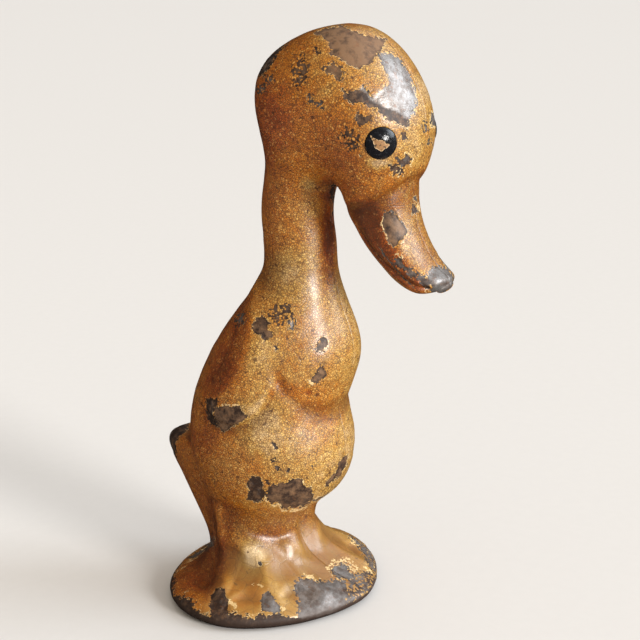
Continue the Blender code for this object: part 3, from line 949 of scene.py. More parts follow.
FRONT = (
    Chip(((253, 324), (255, 318), (262, 316), (266, 319), (270, 322), (271, 324), (267, 326), (268, 329),
          (273, 332), (272, 337), (266, 342), (263, 338), (260, 334), (255, 334), (253, 330)),
         0.03, 0.25, 0.7),
    Chip(((271, 314), (279, 306), (290, 308), (291, 314), (284, 319), (276, 322)), 0.0, 1.6, 0.7, 0.2),
    Chip(((290, 321), (294, 320), (295, 327), (291, 329)), 0.05, 0.9),
    Chip(((273, 345), (277, 347), (279, 349), (275, 350)), -0.1, 0.2, 0.45),
    Chip(((235, 319), (243, 313), (243, 322), (238, 326)), -0.1, 0.9, 0.2, 0.4),
    Chip(((322, 337), (326, 339), (328, 346), (324, 352), (318, 352), (315, 348), (318, 343)), 0.0, 0.5, 0.8),
    Chip(((321, 365), (326, 370), (326, 377), (317, 384), (311, 381), (313, 376), (318, 370)), 0.0, 0.4, 0.8),
    Chip(((205, 397), (209, 398), (217, 398), (218, 403), (214, 407), (213, 414), (216, 424), (219, 430),
          (212, 424), (208, 418), (206, 409)), -0.1, 0.25, 0.5),
    Chip(((213, 407), (222, 406), (230, 407), (239, 406), (241, 410), (249, 417), (244, 420), (236, 425),
          (224, 432), (218, 429), (214, 420)), 0.03, 0.25, 0.85),
    Chip(((168, 440), (169, 425), (180, 417), (191, 418), (189, 424), (186, 432), (179, 437), (176, 442),
          (176, 462), (178, 467), (170, 467)), 0.04, 0.3, 0.5),
    Chip(((246, 483), (250, 478), (256, 476), (262, 479), (263, 489), (265, 494), (262, 501), (255, 502),
          (247, 500), (248, 491)), 0.03, 0.3, 0.5),
    Chip(((266, 495), (268, 489), (272, 483), (278, 485), (281, 483), (288, 483), (292, 479), (302, 479),
          (303, 485), (312, 488), (313, 495), (313, 500), (305, 506), (295, 508), (284, 510), (281, 506),
          (280, 502), (272, 504), (267, 500)), 0.03, 0.3, 0.72),
    Chip(((272, 442), (276, 444), (277, 449), (273, 451), (273, 447)), -0.1, 0.2, 0.45),
    Chip(((270, 460), (276, 458), (277, 461), (271, 463)), -0.1, 0.2, 0.45),
    Chip(((273, 465), (279, 466), (281, 470), (276, 471)), -0.1, 0.2, 0.45),
    Chip(((286, 469), (290, 468), (291, 472), (287, 473)), -0.1, 0.2, 0.45),
    Chip(((265, 480), (268, 479), (269, 484), (266, 485)), -0.1, 0.2, 0.45),
    Chip(((312, 465), (315, 465), (315, 468), (312, 468)), -0.1, 0.2, 0.2),
    Chip(((346, 455), (349, 457), (346, 466), (340, 477), (334, 480), (327, 487), (326, 484), (331, 476),
          (337, 471), (339, 464), (342, 458)), 0.03, 0.2, 0.8),
    Scratch(((313, 501), (322, 498), (330, 493)), 0.25, 0.1),
    Scratch(((332, 186), (333, 194), (335, 201), (337, 208), (335, 214)), 0.4, -0.1, 0.6, 0.5),
)
FOOT = (
    Chip(((216, 588), (224, 589), (226, 595), (229, 601), (227, 606), (229, 613), (227, 622), (212, 620),
          (209, 606), (210, 597)), 0.02, 0.25, 0.5),
    Chip(((260, 599), (263, 593), (268, 589), (272, 593), (275, 599), (281, 606), (281, 613), (270, 613),
          (262, 610)), 0.02, 0.35, 0.0),
    Chip(((299, 624), (298, 601), (295, 591), (295, 582), (301, 577), (313, 579), (320, 581), (326, 581),
          (334, 580), (340, 579), (346, 578), (350, 590), (344, 618), (330, 622)), 0.02, 0.7, 0.15),
    Chip(((342, 579), (355, 575), (363, 573), (369, 572), (380, 572), (384, 590), (370, 606), (340, 620)),
         0.02, 1.4, 0.2, 0.5),
    Chip(((331, 570), (335, 565), (344, 563), (350, 566), (349, 571), (356, 576), (352, 580), (340, 578),
          (334, 576)), 0.1, 0.6),
    Chip(((350, 536), (360, 539), (371, 550), (382, 572), (372, 572), (365, 556), (357, 545)),
         0.05, 0.8, 0.3, 0.4),
    Chip(((204, 541), (212, 539), (214, 546), (206, 549)), -0.1, 1.0),
    Scratch(((249, 571), (253, 568), (260, 565)), 0.05),
    Chip(((258, 562), (262, 562), (262, 566), (258, 566)), -0.1, 0.1, 0.0),
)
HIDDEN = (
    Blot((6, -9, 117.5), (5, 4, 3.5)),
    Blot((22, -9.5, 116), (3, 3.5, 3), 0.2, 0.6),
    Blot((31, -8.5, 106), (2.2, 3, 4.6), 0.1, 0.5),
    Blot((0.5, -6, 103), (2, 3, 4.4), 0.1, 0.9),
    Blot((20, -14.5, 99), (2.6, 2, 1.8), 0.3, 0.6),
    Blot((12, -13, 103), (1.4, 2, 1.2), 0.1, 0.7),
    Blot((37, -5, 75.5), (3.4, 2.6, 2.4), 0.1, 0.6),
    Blot((31, -7, 80), (1.6, 2, 2.8), 0.3, 0.3),
    Blot((-2.6, -16.6, 43.6), (4.4, 4, 3.2), 0.2, 0.3),
    Blot((8.5, -14.6, 60), (2.4, 3, 1.9), 0.2, 0.4),
    Blot((16, -9, 33), (2.2, 3, 3), 0.2, 0.3),
    Blot((6, -17, 25.5), (4.8, 3, 2), 0.3, 0.3),
    Blot((-26, 0, 29.8), (3, 7, 3.6), 0.2, 0.4),
    Blot((-14, 4, 50.5), (2, 2.6, 2.2), 0.2, 0.5),
    Blot((-11, -5, 56), (2, 1.6, 2.6), 0.2, 0.5),
    Blot((-18, -9, 33), (2, 2.2, 1.6), 0.2, 0.5),
    Blot((14, -20, 6.2), (5, 3.4, 1.6), 0.3, 0.6),
    Blot((21, -9, 4.6), (2, 3.6, 1.8), 0.3, 0.5),
    Blot((-9, -21, 5.4), (3, 2.6, 1.6), 0.2, 0.5),
    Blot((-18, 6, 5.2), (2.6, 4, 1.6), 0.3, 0.6),
    Rim(),
)
FRINGES = (
    Scratch(((383, 217), (382, 222), (384, 229)), 0.3),
    Scratch(((384, 229), (386, 237), (389, 243), (394, 247)), 0.09),
    Scratch(((408, 229), (407, 235), (403, 240)), 0.08),
    Scratch(((423, 283), (427, 286), (426, 291)), 0.22),
    Scratch(((397, 256), (402, 257)), 0.2),
    Scratch(((418, 205), (419, 212)), 0.16),
    Scratch(((405, 153), (411, 155), (413, 160), (410, 166)), 0.1),
    Scratch(((391, 174), (396, 176), (401, 176)), 0.12),
    Scratch(((307, 380), (313, 384)), 0.2),
    Scratch(((214, 405), (218, 405), (230, 405), (239, 405)), 0.12),
    Scratch(((265, 496), (267, 502), (273, 506), (280, 504)), 0.16),
    Scratch(((280, 504), (283, 511), (295, 510), (306, 507)), 0.2),
    Scratch(((303, 480), (304, 486), (312, 487)), 0.1),
    Scratch(((229, 601), (233, 604), (235, 606)), 0.42),
    Scratch(((228, 618), (238, 616)), 0.22),
    Scratch(((279, 606), (284, 609)), 0.25),
    Scratch(((252, 585), (258, 584), (264, 588)), 0.1),
    Scratch(((296, 590), (297, 583), (305, 577), (312, 578), (320, 582)), 0.42),
    Scratch(((328, 568), (333, 563), (340, 562), (345, 559), (351, 561)), 0.42),
    Scratch(((353, 568), (358, 574)), 0.4),
)
DENTS = (
    Dent((279, 382), 1.1, 0.35),
    Dent((308, 393), 1.2, 0.35),
    Dent((250, 548), 3.2, -0.5),
    Dent((296, 547), 2.8, -0.5),
    Dent((273, 540), 2.4, 0.35),
    Dent((360, 156), 0.35, 0.3),
)
# Tone changes in the photograph's pixels. Most are painted light: painted shadow and shade on the neck, under
# the jaw, on the wing's rear plane and in its fold, in the dimples, between the legs, on the foot's rear
# slope, at the back of the head, along the bill's lower side and on the back, and painted highlights under
# the eye, on the neck, the flank and the instep and along the back's edge. The rest are paler or deeper
# enamel.
TONES_AND_PAINTED_LIGHT = (
    # Painted shade on the wing's rear plane, which turns away from the light.
    OutlinePatch(((250, 298), (247, 312), (252, 326), (250, 338), (247, 348), (240, 364), (234, 376), (227, 386),
          (216, 396), (204, 400), (201, 384), (208, 358), (222, 330), (238, 306)), 4.0, 0.34),
    # Painted highlight along the back's edge.
    OutlinePatch(((212, 345), (204, 372), (196, 398), (184, 398), (196, 350), (208, 330)), 6.0, -0.2),
    # Paler below the eye: paler paint with a painted highlight.
    Shade((380, 163), (12, 5), -0.9),
    Shade((385, 60), (8, 14), -0.3),
    Shade((425, 90), (9, 24), -0.45),
    Shade((412, 150), (10, 20), -0.25),
    Shade((360, 60), (14, 14), -0.2),
    Shade((330, 95), (16, 14), -0.25),
    Shade((268, 440), (16, 24), -0.3),
    Shade((293, 390), (16, 8), 0.3),
    Shade((280, 383), (4, 3), 0.4),
    Shade((309, 393), (4, 3), 0.4),
    OutlinePatch(((245, 420), (262, 405), (271, 391), (274, 393), (265, 408), (247, 423)), 3.0, 0.25),
    # Painted shadow of the bill and head down the front of the neck.
    Shade((329, 236), (8, 40), 1.3),
    Shade((255, 240), (12, 40), -0.15),
    Shade((285, 590), (26, 14), -0.3),
    Shade((285, 270), (24, 26), -0.7),
    Shade((322, 425), (16, 30), 0.15),
    # Painted highlight on the neck under the cheek, and painted shade under the jaw.
    Shade((306, 183), (9, 6), -0.5),
    Shade((326, 196), (9, 5), 0.5),
    Shade((262, 350), (16, 26), -0.25),
    Shade((268, 535), (18, 5), 0.5),
    # Paler instep: worn paint with a painted highlight.
    Shade((252, 557), (10, 14), -1.4),
    Shade((260, 420), (24, 22), -0.42),
    Shade((262, 592), (16, 8), 0.35),
    Shade((242, 530), (12, 14), -0.3),
    Shade((222, 560), (5, 24), 0.35),
    Shade((274, 112), (18, 42), 0.35),
    # Painted shade along the bill's lower side.
    OutlinePatch(((352, 206), (372, 206), (381, 222), (384, 240), (404, 262), (424, 290), (400, 284), (372, 254)),
         6.0, 0.8),
    Shade((190, 585), (20, 20), 0.4),
    Shade((205, 440), (12, 14), 0.35),
)
STAINS = (
    OutlinePatch(((338, 88), (348, 90), (362, 93), (370, 103), (384, 110), (398, 115), (408, 122), (411, 132),
          (394, 128), (376, 116), (352, 108), (338, 98)), 5.0, 0.62),
    Shade((430, 284), (9, 5), 0.5),
    Shade((447, 284), (5, 6), 0.4),
    Shade((268, 606), (6, 6), 0.4),
    Shade((350, 590), (14, 5), 0.3),
    Shade((372, 580), (10, 10), 0.3),
)
REGIONS = (
    Region((18, 0, 106), (30, 24, 20), 0.3),
    Region((4, 0, 10), (22, 26, 12), 0.04),
    Region((18, 0, 56), (10, 16, 16), 0.06),
)


@dataclass(frozen=True)
class WearAndShadeMap:
    """Everything that has happened to the paint, the tone table with its painted shade and highlights, and
    how they show at each point of a skin.

    far is the field away from all marks; a mark closer than reach sets the raggedness and the film there.
    """

    bare: tuple[Mark, ...] = CROWN + BILL + FRONT + FOOT + HIDDEN
    fringes: tuple[Mark, ...] = FRINGES
    dents: tuple[Dent, ...] = DENTS
    tones_and_painted_light: tuple[Shade | OutlinePatch | Region, ...] = TONES_AND_PAINTED_LIGHT + REGIONS
    stains: tuple[Shade | OutlinePatch, ...] = STAINS
    sink: float = 0.12
    step_middle: float = 0.05
    step_half: float = 0.14
    far: float = -6.0
    reach: float = -1.5
    plain_ragged: float = 0.3
    plain_brown: float = 0.2
    patchy: Layers = ((2.4, 1.8, 61),)

    def fields(self, seen: Seen) -> dict[str, Array]:
        """The marks of the paint over a skin.

        Args:
            seen: The skin as the photograph sees it.

        Returns:
            bare, above zero where the iron shows; cream, above zero where the undercoat or the iron
            shows; ragged, how far the bare edge follows the crackle, all in millimetres; and brown,
            how far a brown film covers the iron.
        """
        shape = seen.column.shape
        bare, cream = np.full(shape, self.far), np.full(shape, self.far)
        ragged, brown = np.full(shape, self.plain_ragged), np.full(shape, self.plain_brown)
        patchy = 1.0 + grains(seen.points, self.patchy)
        for mark in self.bare:
            found = mark.field(seen)
            nearer = (found > bare) & (found > self.reach)
            ragged = np.where(nearer, mark.ragged, ragged)
            brown = np.where(nearer, mark.brown, brown)
            bare = np.maximum(bare, found)
            cream = np.maximum(cream, found + mark.cream * patchy)
        for fringe in self.fringes:
            cream = np.maximum(cream, fringe.field(seen))
        brown = brown + sum(stain.tone(seen) for stain in self.stains)
        return {"bare": bare, "cream": cream, "ragged": ragged, "brown": brown}

    def swell(self, seen: Seen, bare: Array) -> Array:
        """The step down to the bare iron, and the dents, along the normal in millimetres."""
        step = -self.sink * ramp((bare - self.step_middle) / self.step_half)
        return sum((dent.swell(seen) for dent in self.dents), step)


@dataclass(frozen=True)
class Skin:
    """The duckling's painted outside."""

    loft: Loft = LOFT
    tail: Tail = Tail()
    reliefs: tuple[Relief, ...] = (Wing(), Valley(), LegGroove(), *FOOT_CRESTS, MouthLine(), CheekCrease(),
                                   EyeRing(), Joint(), Surface())
    feet: Feet = Feet()
    wear_and_shade: WearAndShadeMap = WearAndShadeMap()
    rows: int = 500
    columns: int = 180
    tip_rings: int = 7
    tip_reach: float = 1.0
    smoothing: int = 160
    hollow_scale: float = 0.35
    plain_tone: float = 0.5
    # Painted shade: how far the tone deepens where the skin faces back and where it faces down.
    painted_shade_rear: float = 0.42
    painted_shade_below: float = 0.1
    tone_hollow: float = 0.15
    tone_grains: Layers = ((0.16, 9.0, 71), (0.1, 3.0, 72))
    tone_range: tuple[float, float] = (-0.6, 1.4)
    glaze_top: float = 13.0
    glaze_rear: float = -3.0
    glaze_fade: float = 3.0

    @staticmethod
    def normals(points: Array) -> Array:
        """Unit normals of a half skin, kept in the plane of symmetry on the front and the back line."""
        normal = np.cross(np.gradient(points, axis=1), np.gradient(points, axis=0))
        normal[:, [0, -1], 1] = 0.0
        return normal / np.linalg.norm(normal, axis=-1, keepdims=True)

    def grid(self) -> Array:
        """The half skin with its reliefs.

        Returns:
            Points (forward, side, height) on rows of ribs and columns of turns: the ovals with the tail
            pulled out, moved along the normal by the sum of the reliefs, and raised by the feet.
        """
        turns = np.linspace(0.0, math.pi, self.columns + 1)
        points = self.tail.pulled(Loft.ovals(self.loft.values(self.loft.spread(self.rows + 1)), turns))
        swell = sum(relief.swell(points) for relief in self.reliefs)
        points = points + self.normals(points) * swell[..., None]
        points[..., 2] += self.feet.height(points)
        points[:, [0, -1], 1] = 0.0
        points[0, :, 2] = 0.0
        return points

    def tip(self, grid: Array) -> Array:
        """The round end of the bill: quarter circles from the last rib to a blunt point."""
        last = grid[-1]
        middle = 0.5 * (last[0] + last[-1])
        ahead = np.array([last[-1][2] - last[0][2], 0.0, last[0][0] - last[-1][0]])
        ahead *= self.tip_reach / np.linalg.norm(ahead)
        turns = np.linspace(0.0, 0.5 * math.pi, self.tip_rings + 1)[1:-1, None, None]
        return middle + (last - middle) * np.cos(turns) + ahead * np.sin(turns)

    def hollowness(self, points: Array, normals: Array) -> Array:
        """How far each point lies below the skin round it, from 0 to 1, by averaging the grid many times."""
        soft = points
        for _ in range(self.smoothing):
            padded = np.pad(soft, ((1, 1), (1, 1), (0, 0)), mode="edge")
            padded[:, 0], padded[:, -1] = padded[:, 2], padded[:, -3]
            padded[:, 0, 1] *= -1
            padded[:, -1, 1] *= -1
            soft = 0.25 * (padded[:-2, 1:-1] + padded[2:, 1:-1] + padded[1:-1, :-2] + padded[1:-1, 2:])
        return np.clip(np.sum((soft - points) * normals, axis=-1) / self.hollow_scale, -1, 1)

    def dressed(self, side: Side) -> tuple[Array, dict[str, Array]]:
        """One half of the skin with the marks of its paint.

        Args:
            side: Which half.

        Returns:
            The half's points with a positive side value, and the fields of its paint at each point.
        """
        plain = self.grid()
        plain = np.concatenate([plain, self.tip(plain)])
        normals = self.normals(plain)
        mirror = np.array([1.0, side.value, 1.0])
        seen = Seen.of(plain * mirror, normals * mirror)
        fields = self.wear_and_shade.fields(seen)
        hollow = self.hollowness(plain, normals)
        # The tone deepens where the skin faces back and down, which is painted shade, and in its hollows;
        # random grains vary it, and the table of tones adds paler and deeper enamel and painted shadows and
        # highlights.
        tone = self.plain_tone - self.painted_shade_rear * normals[..., 0] - self.painted_shade_below * normals[..., 2]
        tone = tone + self.tone_hollow * hollow + grains(seen.points, self.tone_grains)
        tone = tone + sum(shade.tone(seen) for shade in self.wear_and_shade.tones_and_painted_light)
        fields["tone"] = np.clip(tone, *self.tone_range)
        fields["hollow"] = np.clip(hollow, 0.0, 1.0)
        low = ramp((self.glaze_top - plain[..., 2]) / self.glaze_fade)
        fields["glaze"] = low * ramp((plain[..., 0] - self.glaze_rear) / self.glaze_fade)
        points = plain + normals * self.wear_and_shade.swell(seen, fields["bare"])[..., None]
        points[:, [0, -1], 1] = 0.0
        points[0, :, 2] = 0.0
        return points, fields


def add_field(mesh: Mesh, name: str, values: Array) -> None:
    """Puts a value at each point of a mesh, which materials read by its name."""
    layer = mesh.attributes.new(name, "FLOAT", "POINT")
    layer.data.foreach_set("value", values.ravel().astype(np.float32))


def mesh_points(mesh: Mesh) -> Array:
    """The points of a mesh, in metres."""
    points = np.empty(len(mesh.vertices) * 3, np.float32)
    mesh.vertices.foreach_get("co", points)
    return points.reshape(-1, 3).astype(float)


def set_mesh_points(mesh: Mesh, points: Array) -> None:
    """Puts the points of a mesh in new places, in metres."""
    mesh.vertices.foreach_set("co", points.ravel().astype(np.float32))


def new_piece(name: str, points: Array, faces: Sequence[Sequence[int]],
              fields: Mapping[str, Array] | None = None, finishes: Array | None = None) -> Body:
    """An object from points and faces.

    Args:
        name: The object's name.
        points: Points in metres, one row each.
        faces: Point numbers of each face.
        fields: Values at each point that the material reads by name.
        finishes: The number of each face's material.

    Returns:
        The object, linked into the scene and shaded smooth.
    """
    mesh = bpy.data.meshes.new(name)
    mesh.from_pydata(points.tolist(), [], faces)
    for label, values in (fields or {}).items():
        add_field(mesh, label, values)
    if finishes is not None:
        mesh.polygons.foreach_set("material_index", finishes)
    mesh.shade_smooth()
    mesh.validate()
    return linked(name, mesh)


def grid_faces(rows: int, columns: int, flip: bool, closed: bool = True) -> Array:
    """Faces of a grid of points whose rows are rings.

    Args:
        rows: How many rings.
        columns: How many points in a ring.
        flip: Whether the faces turn the other way.
        closed: Whether each ring's last point is joined to its first.

    Returns:
        One row of four point numbers for each face.
    """
    index = np.arange(rows * columns).reshape(rows, columns)
    after = np.roll(index, -1, axis=1)
    if not closed:
        index, after = index[:, :-1], after[:, :-1]
    faces = np.stack([index[:-1], after[:-1], after[1:], index[1:]], axis=-1).reshape(-1, 4)
    return faces[:, ::-1] if flip else faces


def fan(ring: Array, pole: int) -> Array:
    """Triangles between a ring of point numbers and the number of a pole."""
    return np.stack([ring, np.roll(ring, -1), np.full(ring.size, pole)], axis=-1)


def revolved(name: str, profile: Array, turns: int = 96, warp: Array | None = None) -> Body:
    """A turned body about the z axis, from a profile that starts and ends on the axis.

    Args:
        name: The object's name.
        profile: Rows of radius and height in millimetres, from the top down the outer side.
        turns: How many points round.
        warp: Factors on the radius, one for each point round.

    Returns:
        The object: the profile's radius times cosine and sine of the turn, closed by a fan at each end.
    """
    angle = circle(turns)
    factor = np.ones(turns) if warp is None else warp
    inner = profile[1:-1]
    radius = inner[:, 0:1] * factor[None, :]
    height = np.repeat(inner[:, 1:2], turns, axis=1)
    rings = np.stack([radius * np.cos(angle), radius * np.sin(angle), height], axis=-1).reshape(-1, 3)
    poles = np.array([[0.0, 0.0, profile[0, 1]], [0.0, 0.0, profile[-1, 1]]])
    points = np.concatenate([rings, poles]) * MM
    first = np.arange(turns)
    last = first + (len(inner) - 1) * turns
    faces = grid_faces(len(inner), turns, flip=True).tolist() + fan(first, len(rings)).tolist()
    faces += fan(last, len(rings) + 1)[:, [1, 0, 2]].tolist()
    return new_piece(name, points, faces)


def combine(piece: Body, cutters: Sequence[tuple[Body, Cut]]) -> None:
    """Cuts or joins other bodies into a piece for good, and removes them.

    Args:
        piece: The piece, whose mesh is changed.
        cutters: The other bodies, each with what it does.
    """
    for other, cut in cutters:
        step = piece.modifiers.new(other.name, "BOOLEAN")
        step.operation = cut.value
        step.object = other
        step.solver = "EXACT"
    depsgraph = bpy.context.evaluated_depsgraph_get()
    mesh = bpy.data.meshes.new_from_object(piece.evaluated_get(depsgraph))
    piece.modifiers.clear()
    piece.data = mesh
    for other, _ in cutters:
        bpy.data.objects.remove(other)


def move(piece: Body, matrix: Matrix) -> Body:
    """The piece with its place put into its mesh."""
    piece.data.transform(matrix)
    return piece


def across_seam(spot: Spot) -> Matrix:
    """Place of a body that crosses the seam: its z axis points left, with z = 0 on the seam."""
    return Matrix.Translation(Vector(place(np.array(spot)))) @ Matrix.Rotation(math.radians(90), 4, "Y")


def eye_place(side: Side, above_bill: float = 0.9, turn: float = 116.0) -> Matrix:
    """Place of an eye.

    Args:
        side: Which eye.
        above_bill: Ribs between the eye and the last rib of the head.
        turn: Degrees round that rib from the front line.

    Returns:
        The matrix whose origin is on the plain skin and whose z axis is the skin's normal.
    """
    nudges = np.array([-0.02, 0.0, 0.02])
    patch = Loft.ovals(LOFT.values(LAST_HEAD_RIB - above_bill + nudges), math.radians(turn) + nudges)
    patch = place(patch, side)
    along = Vector(patch[2, 1] - patch[0, 1])
    around = Vector(patch[1, 2] - patch[1, 0])
    out = (along.cross(around) * side.value).normalized()
    return Matrix.Translation(Vector(patch[1, 1])) @ out.to_track_quat("Z", "Y").to_matrix().to_4x4()


@dataclass(frozen=True)
class Fits:
    """Sizes that the pieces share, as the castings and the screw are made."""

    wall: float = 4.6
    floor: float = 5.0
    solid_face: float = 0.6
    clearance: float = 0.3
    seam_gap: float = 0.01
    screw_spot: Spot = (-1.0, 0.0, 31.0)
    screw_radius: float = 2.0
    screw_reach: float = 9.0
    screw_head: float = 3.7
    screw_head_depth: float = 2.2
    screw_sink: float = 0.5
    screw_rim: float = 0.4
    boss_wall: float = 2.8
    peg_radius: float = 1.2
    peg_length: float = 2.2
    back_pegs: tuple[int, ...] = (12, 24)
    front_pegs: tuple[int, ...] = (15,)
    eye_radius: float = 3.4
    eye_seat: float = 1.0
    eye_shank: float = 1.3
    eye_shank_length: float = 2.4
    overrun: float = 6.0
    past_skin: float = 40.0
    head_clearance: float = 0.12
    eye_squeeze: float = 0.2

    def screw_top(self) -> float:
        """Distance of the screw's flat top from the seam."""
        return LOFT.flank(self.screw_spot[0], self.screw_spot[2]) - self.screw_sink

    def peg_spots(self) -> list[Spot]:
        """Places of the locating pegs, in the middle of the wall at the back or the front of their ribs."""
        ribs = [RIBS[number] for number in self.back_pegs + self.front_pegs]
        ends = [(rib.back, rib.front) for rib in ribs[:len(self.back_pegs)]]
        ends += [(rib.front, rib.back) for rib in ribs[len(self.back_pegs):]]
        shares = [self.wall / 2 / math.dist(near, far) for near, far in ends]
        return [(near[0] + share * (far[0] - near[0]), 0.0, near[1] + share * (far[1] - near[1]))
                for (near, far), share in zip(ends, shares)]


FITS = Fits()


def operation(kind: str, turned: bool = False) -> Callable[["Value", "Number"], "Value"]:
    """A method of Value that adds a Math node on the value and another number, or the other way round."""
    def method(value: "Value", other: "Number") -> "Value":
        """The result of the Math node."""
        return value.tree.maths(kind, *((other, value) if turned else (value, other)))
    return method


class Value:
    """A number that varies over a surface: arithmetic on it adds Math nodes."""

    def __init__(self, tree: "ShaderTree", socket: Socket) -> None:
        """Wraps a socket of a tree."""
        self.tree = tree
        self.socket = socket

    __add__ = __radd__ = operation("ADD")
    __mul__ = __rmul__ = operation("MULTIPLY")
    __sub__ = operation("SUBTRACT")
    __rsub__ = operation("SUBTRACT", turned=True)
    least = operation("MINIMUM")
    most = operation("MAXIMUM")

    def share(self) -> "Value":
        """The value kept between 0 and 1."""
        return self.least(1.0).most(0.0)

    def past(self, low: float, high: float) -> "Value":
        """Smooth step from 0 at low to 1 at high."""
        return self.tree.value("Result", "ShaderNodeMapRange", {"interpolation_type": "SMOOTHSTEP"},
                               {"Value": self, "From Min": low, "From Max": high})


Number = Value | float
Source = Value | Socket | float | Colour
Settings = Mapping[str, object] | None
Inputs = Mapping[str | int, Source] | None


class ShaderTree:
    """The nodes of one material or world."""

    def __init__(self, owner: Material | bpy.types.World, shader: str = "Principled BSDF") -> None:
        """Gives a new material or world its nodes, with the named shader among them."""
        owner.use_nodes = True
        self.owner = owner
        self.nodes = owner.node_tree.nodes
        self.links = owner.node_tree.links
        self.shader = self.nodes[shader]

    @classmethod
    def material(cls, name: str) -> "ShaderTree":
        """The nodes of a new material."""
        return cls(bpy.data.materials.new(name))

    def node(self, kind: str, settings: Settings = None, inputs: Inputs = None) -> bpy.types.Node:
        """Adds a node.

        Args:
            kind: The node's type.
            settings: Its own settings, set before its sockets.
            inputs: Values or links of its sockets, by name or by number.

        Returns:
            The node.
        """
        made = self.nodes.new(kind)
        for name, value in (settings or {}).items():
            setattr(made, name, value)
        for name, value in (inputs or {}).items():
            self.feed(made.inputs[name], value)
        return made

    def feed(self, socket: Socket, value: Source) -> None:
        """Links or sets one socket."""
        if isinstance(value, Value):
            self.links.new(value.socket, socket)
        elif isinstance(value, Socket):
            self.links.new(value, socket)
        elif isinstance(value, tuple) and socket.type == "RGBA":
            socket.default_value = (*value, 1.0)
        else:
            socket.default_value = value

    def value(self, output: str | int, kind: str, settings: Settings = None, inputs: Inputs = None) -> Value:
        """One output of a new node, as a value."""
        return Value(self, self.node(kind, settings, inputs).outputs[output])

    def maths(self, kind: str, first: Number, second: Number) -> Value:
        """A Math node on two numbers."""
        return self.value(0, "ShaderNodeMath", {"operation": kind}, {0: first, 1: second})

    def attribute(self, name: str) -> Value:
        """A value of the mesh's points."""
        return self.value("Fac", "ShaderNodeAttribute", {"attribute_name": name})

    def vector(self, kind: str, first: Source, second: Source) -> Socket:
        """A Vector Math node on two vectors, or on a vector and its scale."""
        key = "Scale" if kind == "SCALE" else 1
        return self.node("ShaderNodeVectorMath", {"operation": kind}, {0: first, key: second}).outputs[0]

    def place_mm(self) -> Socket:
        """The place on the object, in millimetres."""
        return self.vector("SCALE", self.node("ShaderNodeTexCoord").outputs["Object"], 1.0 / MM)

    def height_of(self, where: Source) -> Value:
        """The height part of a place."""
        return self.value(2, "ShaderNodeSeparateXYZ", {}, {0: where})

    def noise(self, where: Source, size: float, detail: float = 2.0, rough: float = 0.5) -> Value:
        """Noise from 0 to 1 whose features are about a size across, in millimetres."""
        return self.value("Fac", "ShaderNodeTexNoise", {},
                          {"Vector": where, "Scale": 1.0 / size, "Detail": detail, "Roughness": rough})

    def shaken(self, where: Source, size: float, amount: float) -> Socket:
        """A place moved at random by up to an amount, smooth over a size, both in millimetres."""
        made = self.node("ShaderNodeTexNoise", {}, {"Vector": where, "Scale": 1.0 / size, "Detail": 1.0})
        offset = self.vector("SUBTRACT", made.outputs["Color"], (0.5, 0.5, 0.5))
        return self.vector("ADD", where, self.vector("SCALE", offset, 2.0 * amount))

    def cells(self, where: Source, size: float) -> Value:
        """A random number from 0 to 1 for each cell of a crackle."""
        made = self.node("ShaderNodeTexVoronoi", {"feature": "F1"}, {"Vector": where, "Scale": 1.0 / size})
        return self.value(0, "ShaderNodeSeparateColor", {}, {0: made.outputs["Color"]})

    def cracks(self, where: Source, size: float) -> Value:
        """Distance to the nearest line of a crackle, as a share of the cell size."""
        return self.value("Distance", "ShaderNodeTexVoronoi", {"feature": "DISTANCE_TO_EDGE"},
                          {"Vector": where, "Scale": 1.0 / size})

    def blend(self, share: Number, first: Source, second: Source, kind: str = "MIX") -> Socket:
        """A Mix node on two colours."""
        made = self.node("ShaderNodeMix", {"data_type": "RGBA", "blend_type": kind},
                         {0: share, 6: first, 7: second})
        return made.outputs[2]

    def tinted(self, colour: Source, tint: Colour) -> Socket:
        """A colour times a tint."""
        return self.blend(1.0, colour, tint, "MULTIPLY")

    def coats(self, colour: Source, *coats: tuple[Number, Source]) -> Source:
        """A colour under coats of other colours, each with the share that it covers."""
        for share, coat in coats:
            colour = self.blend(share, colour, coat)
        return colour

    def raised(self, height: Value) -> Socket:
        """A normal bent by a height in millimetres."""
        made = self.node("ShaderNodeBump", {}, {"Height": height, "Strength": 1.0, "Distance": MM})
        return made.outputs["Normal"]

    def finish(self, **inputs: Source) -> Material | bpy.types.World:
        """The material or world with its shader's sockets set, their spaces written as underscores."""
        for name, value in inputs.items():
            self.feed(self.shader.inputs[name.replace("_", " ").title().replace("Ior", "IOR")], value)
        return self.owner


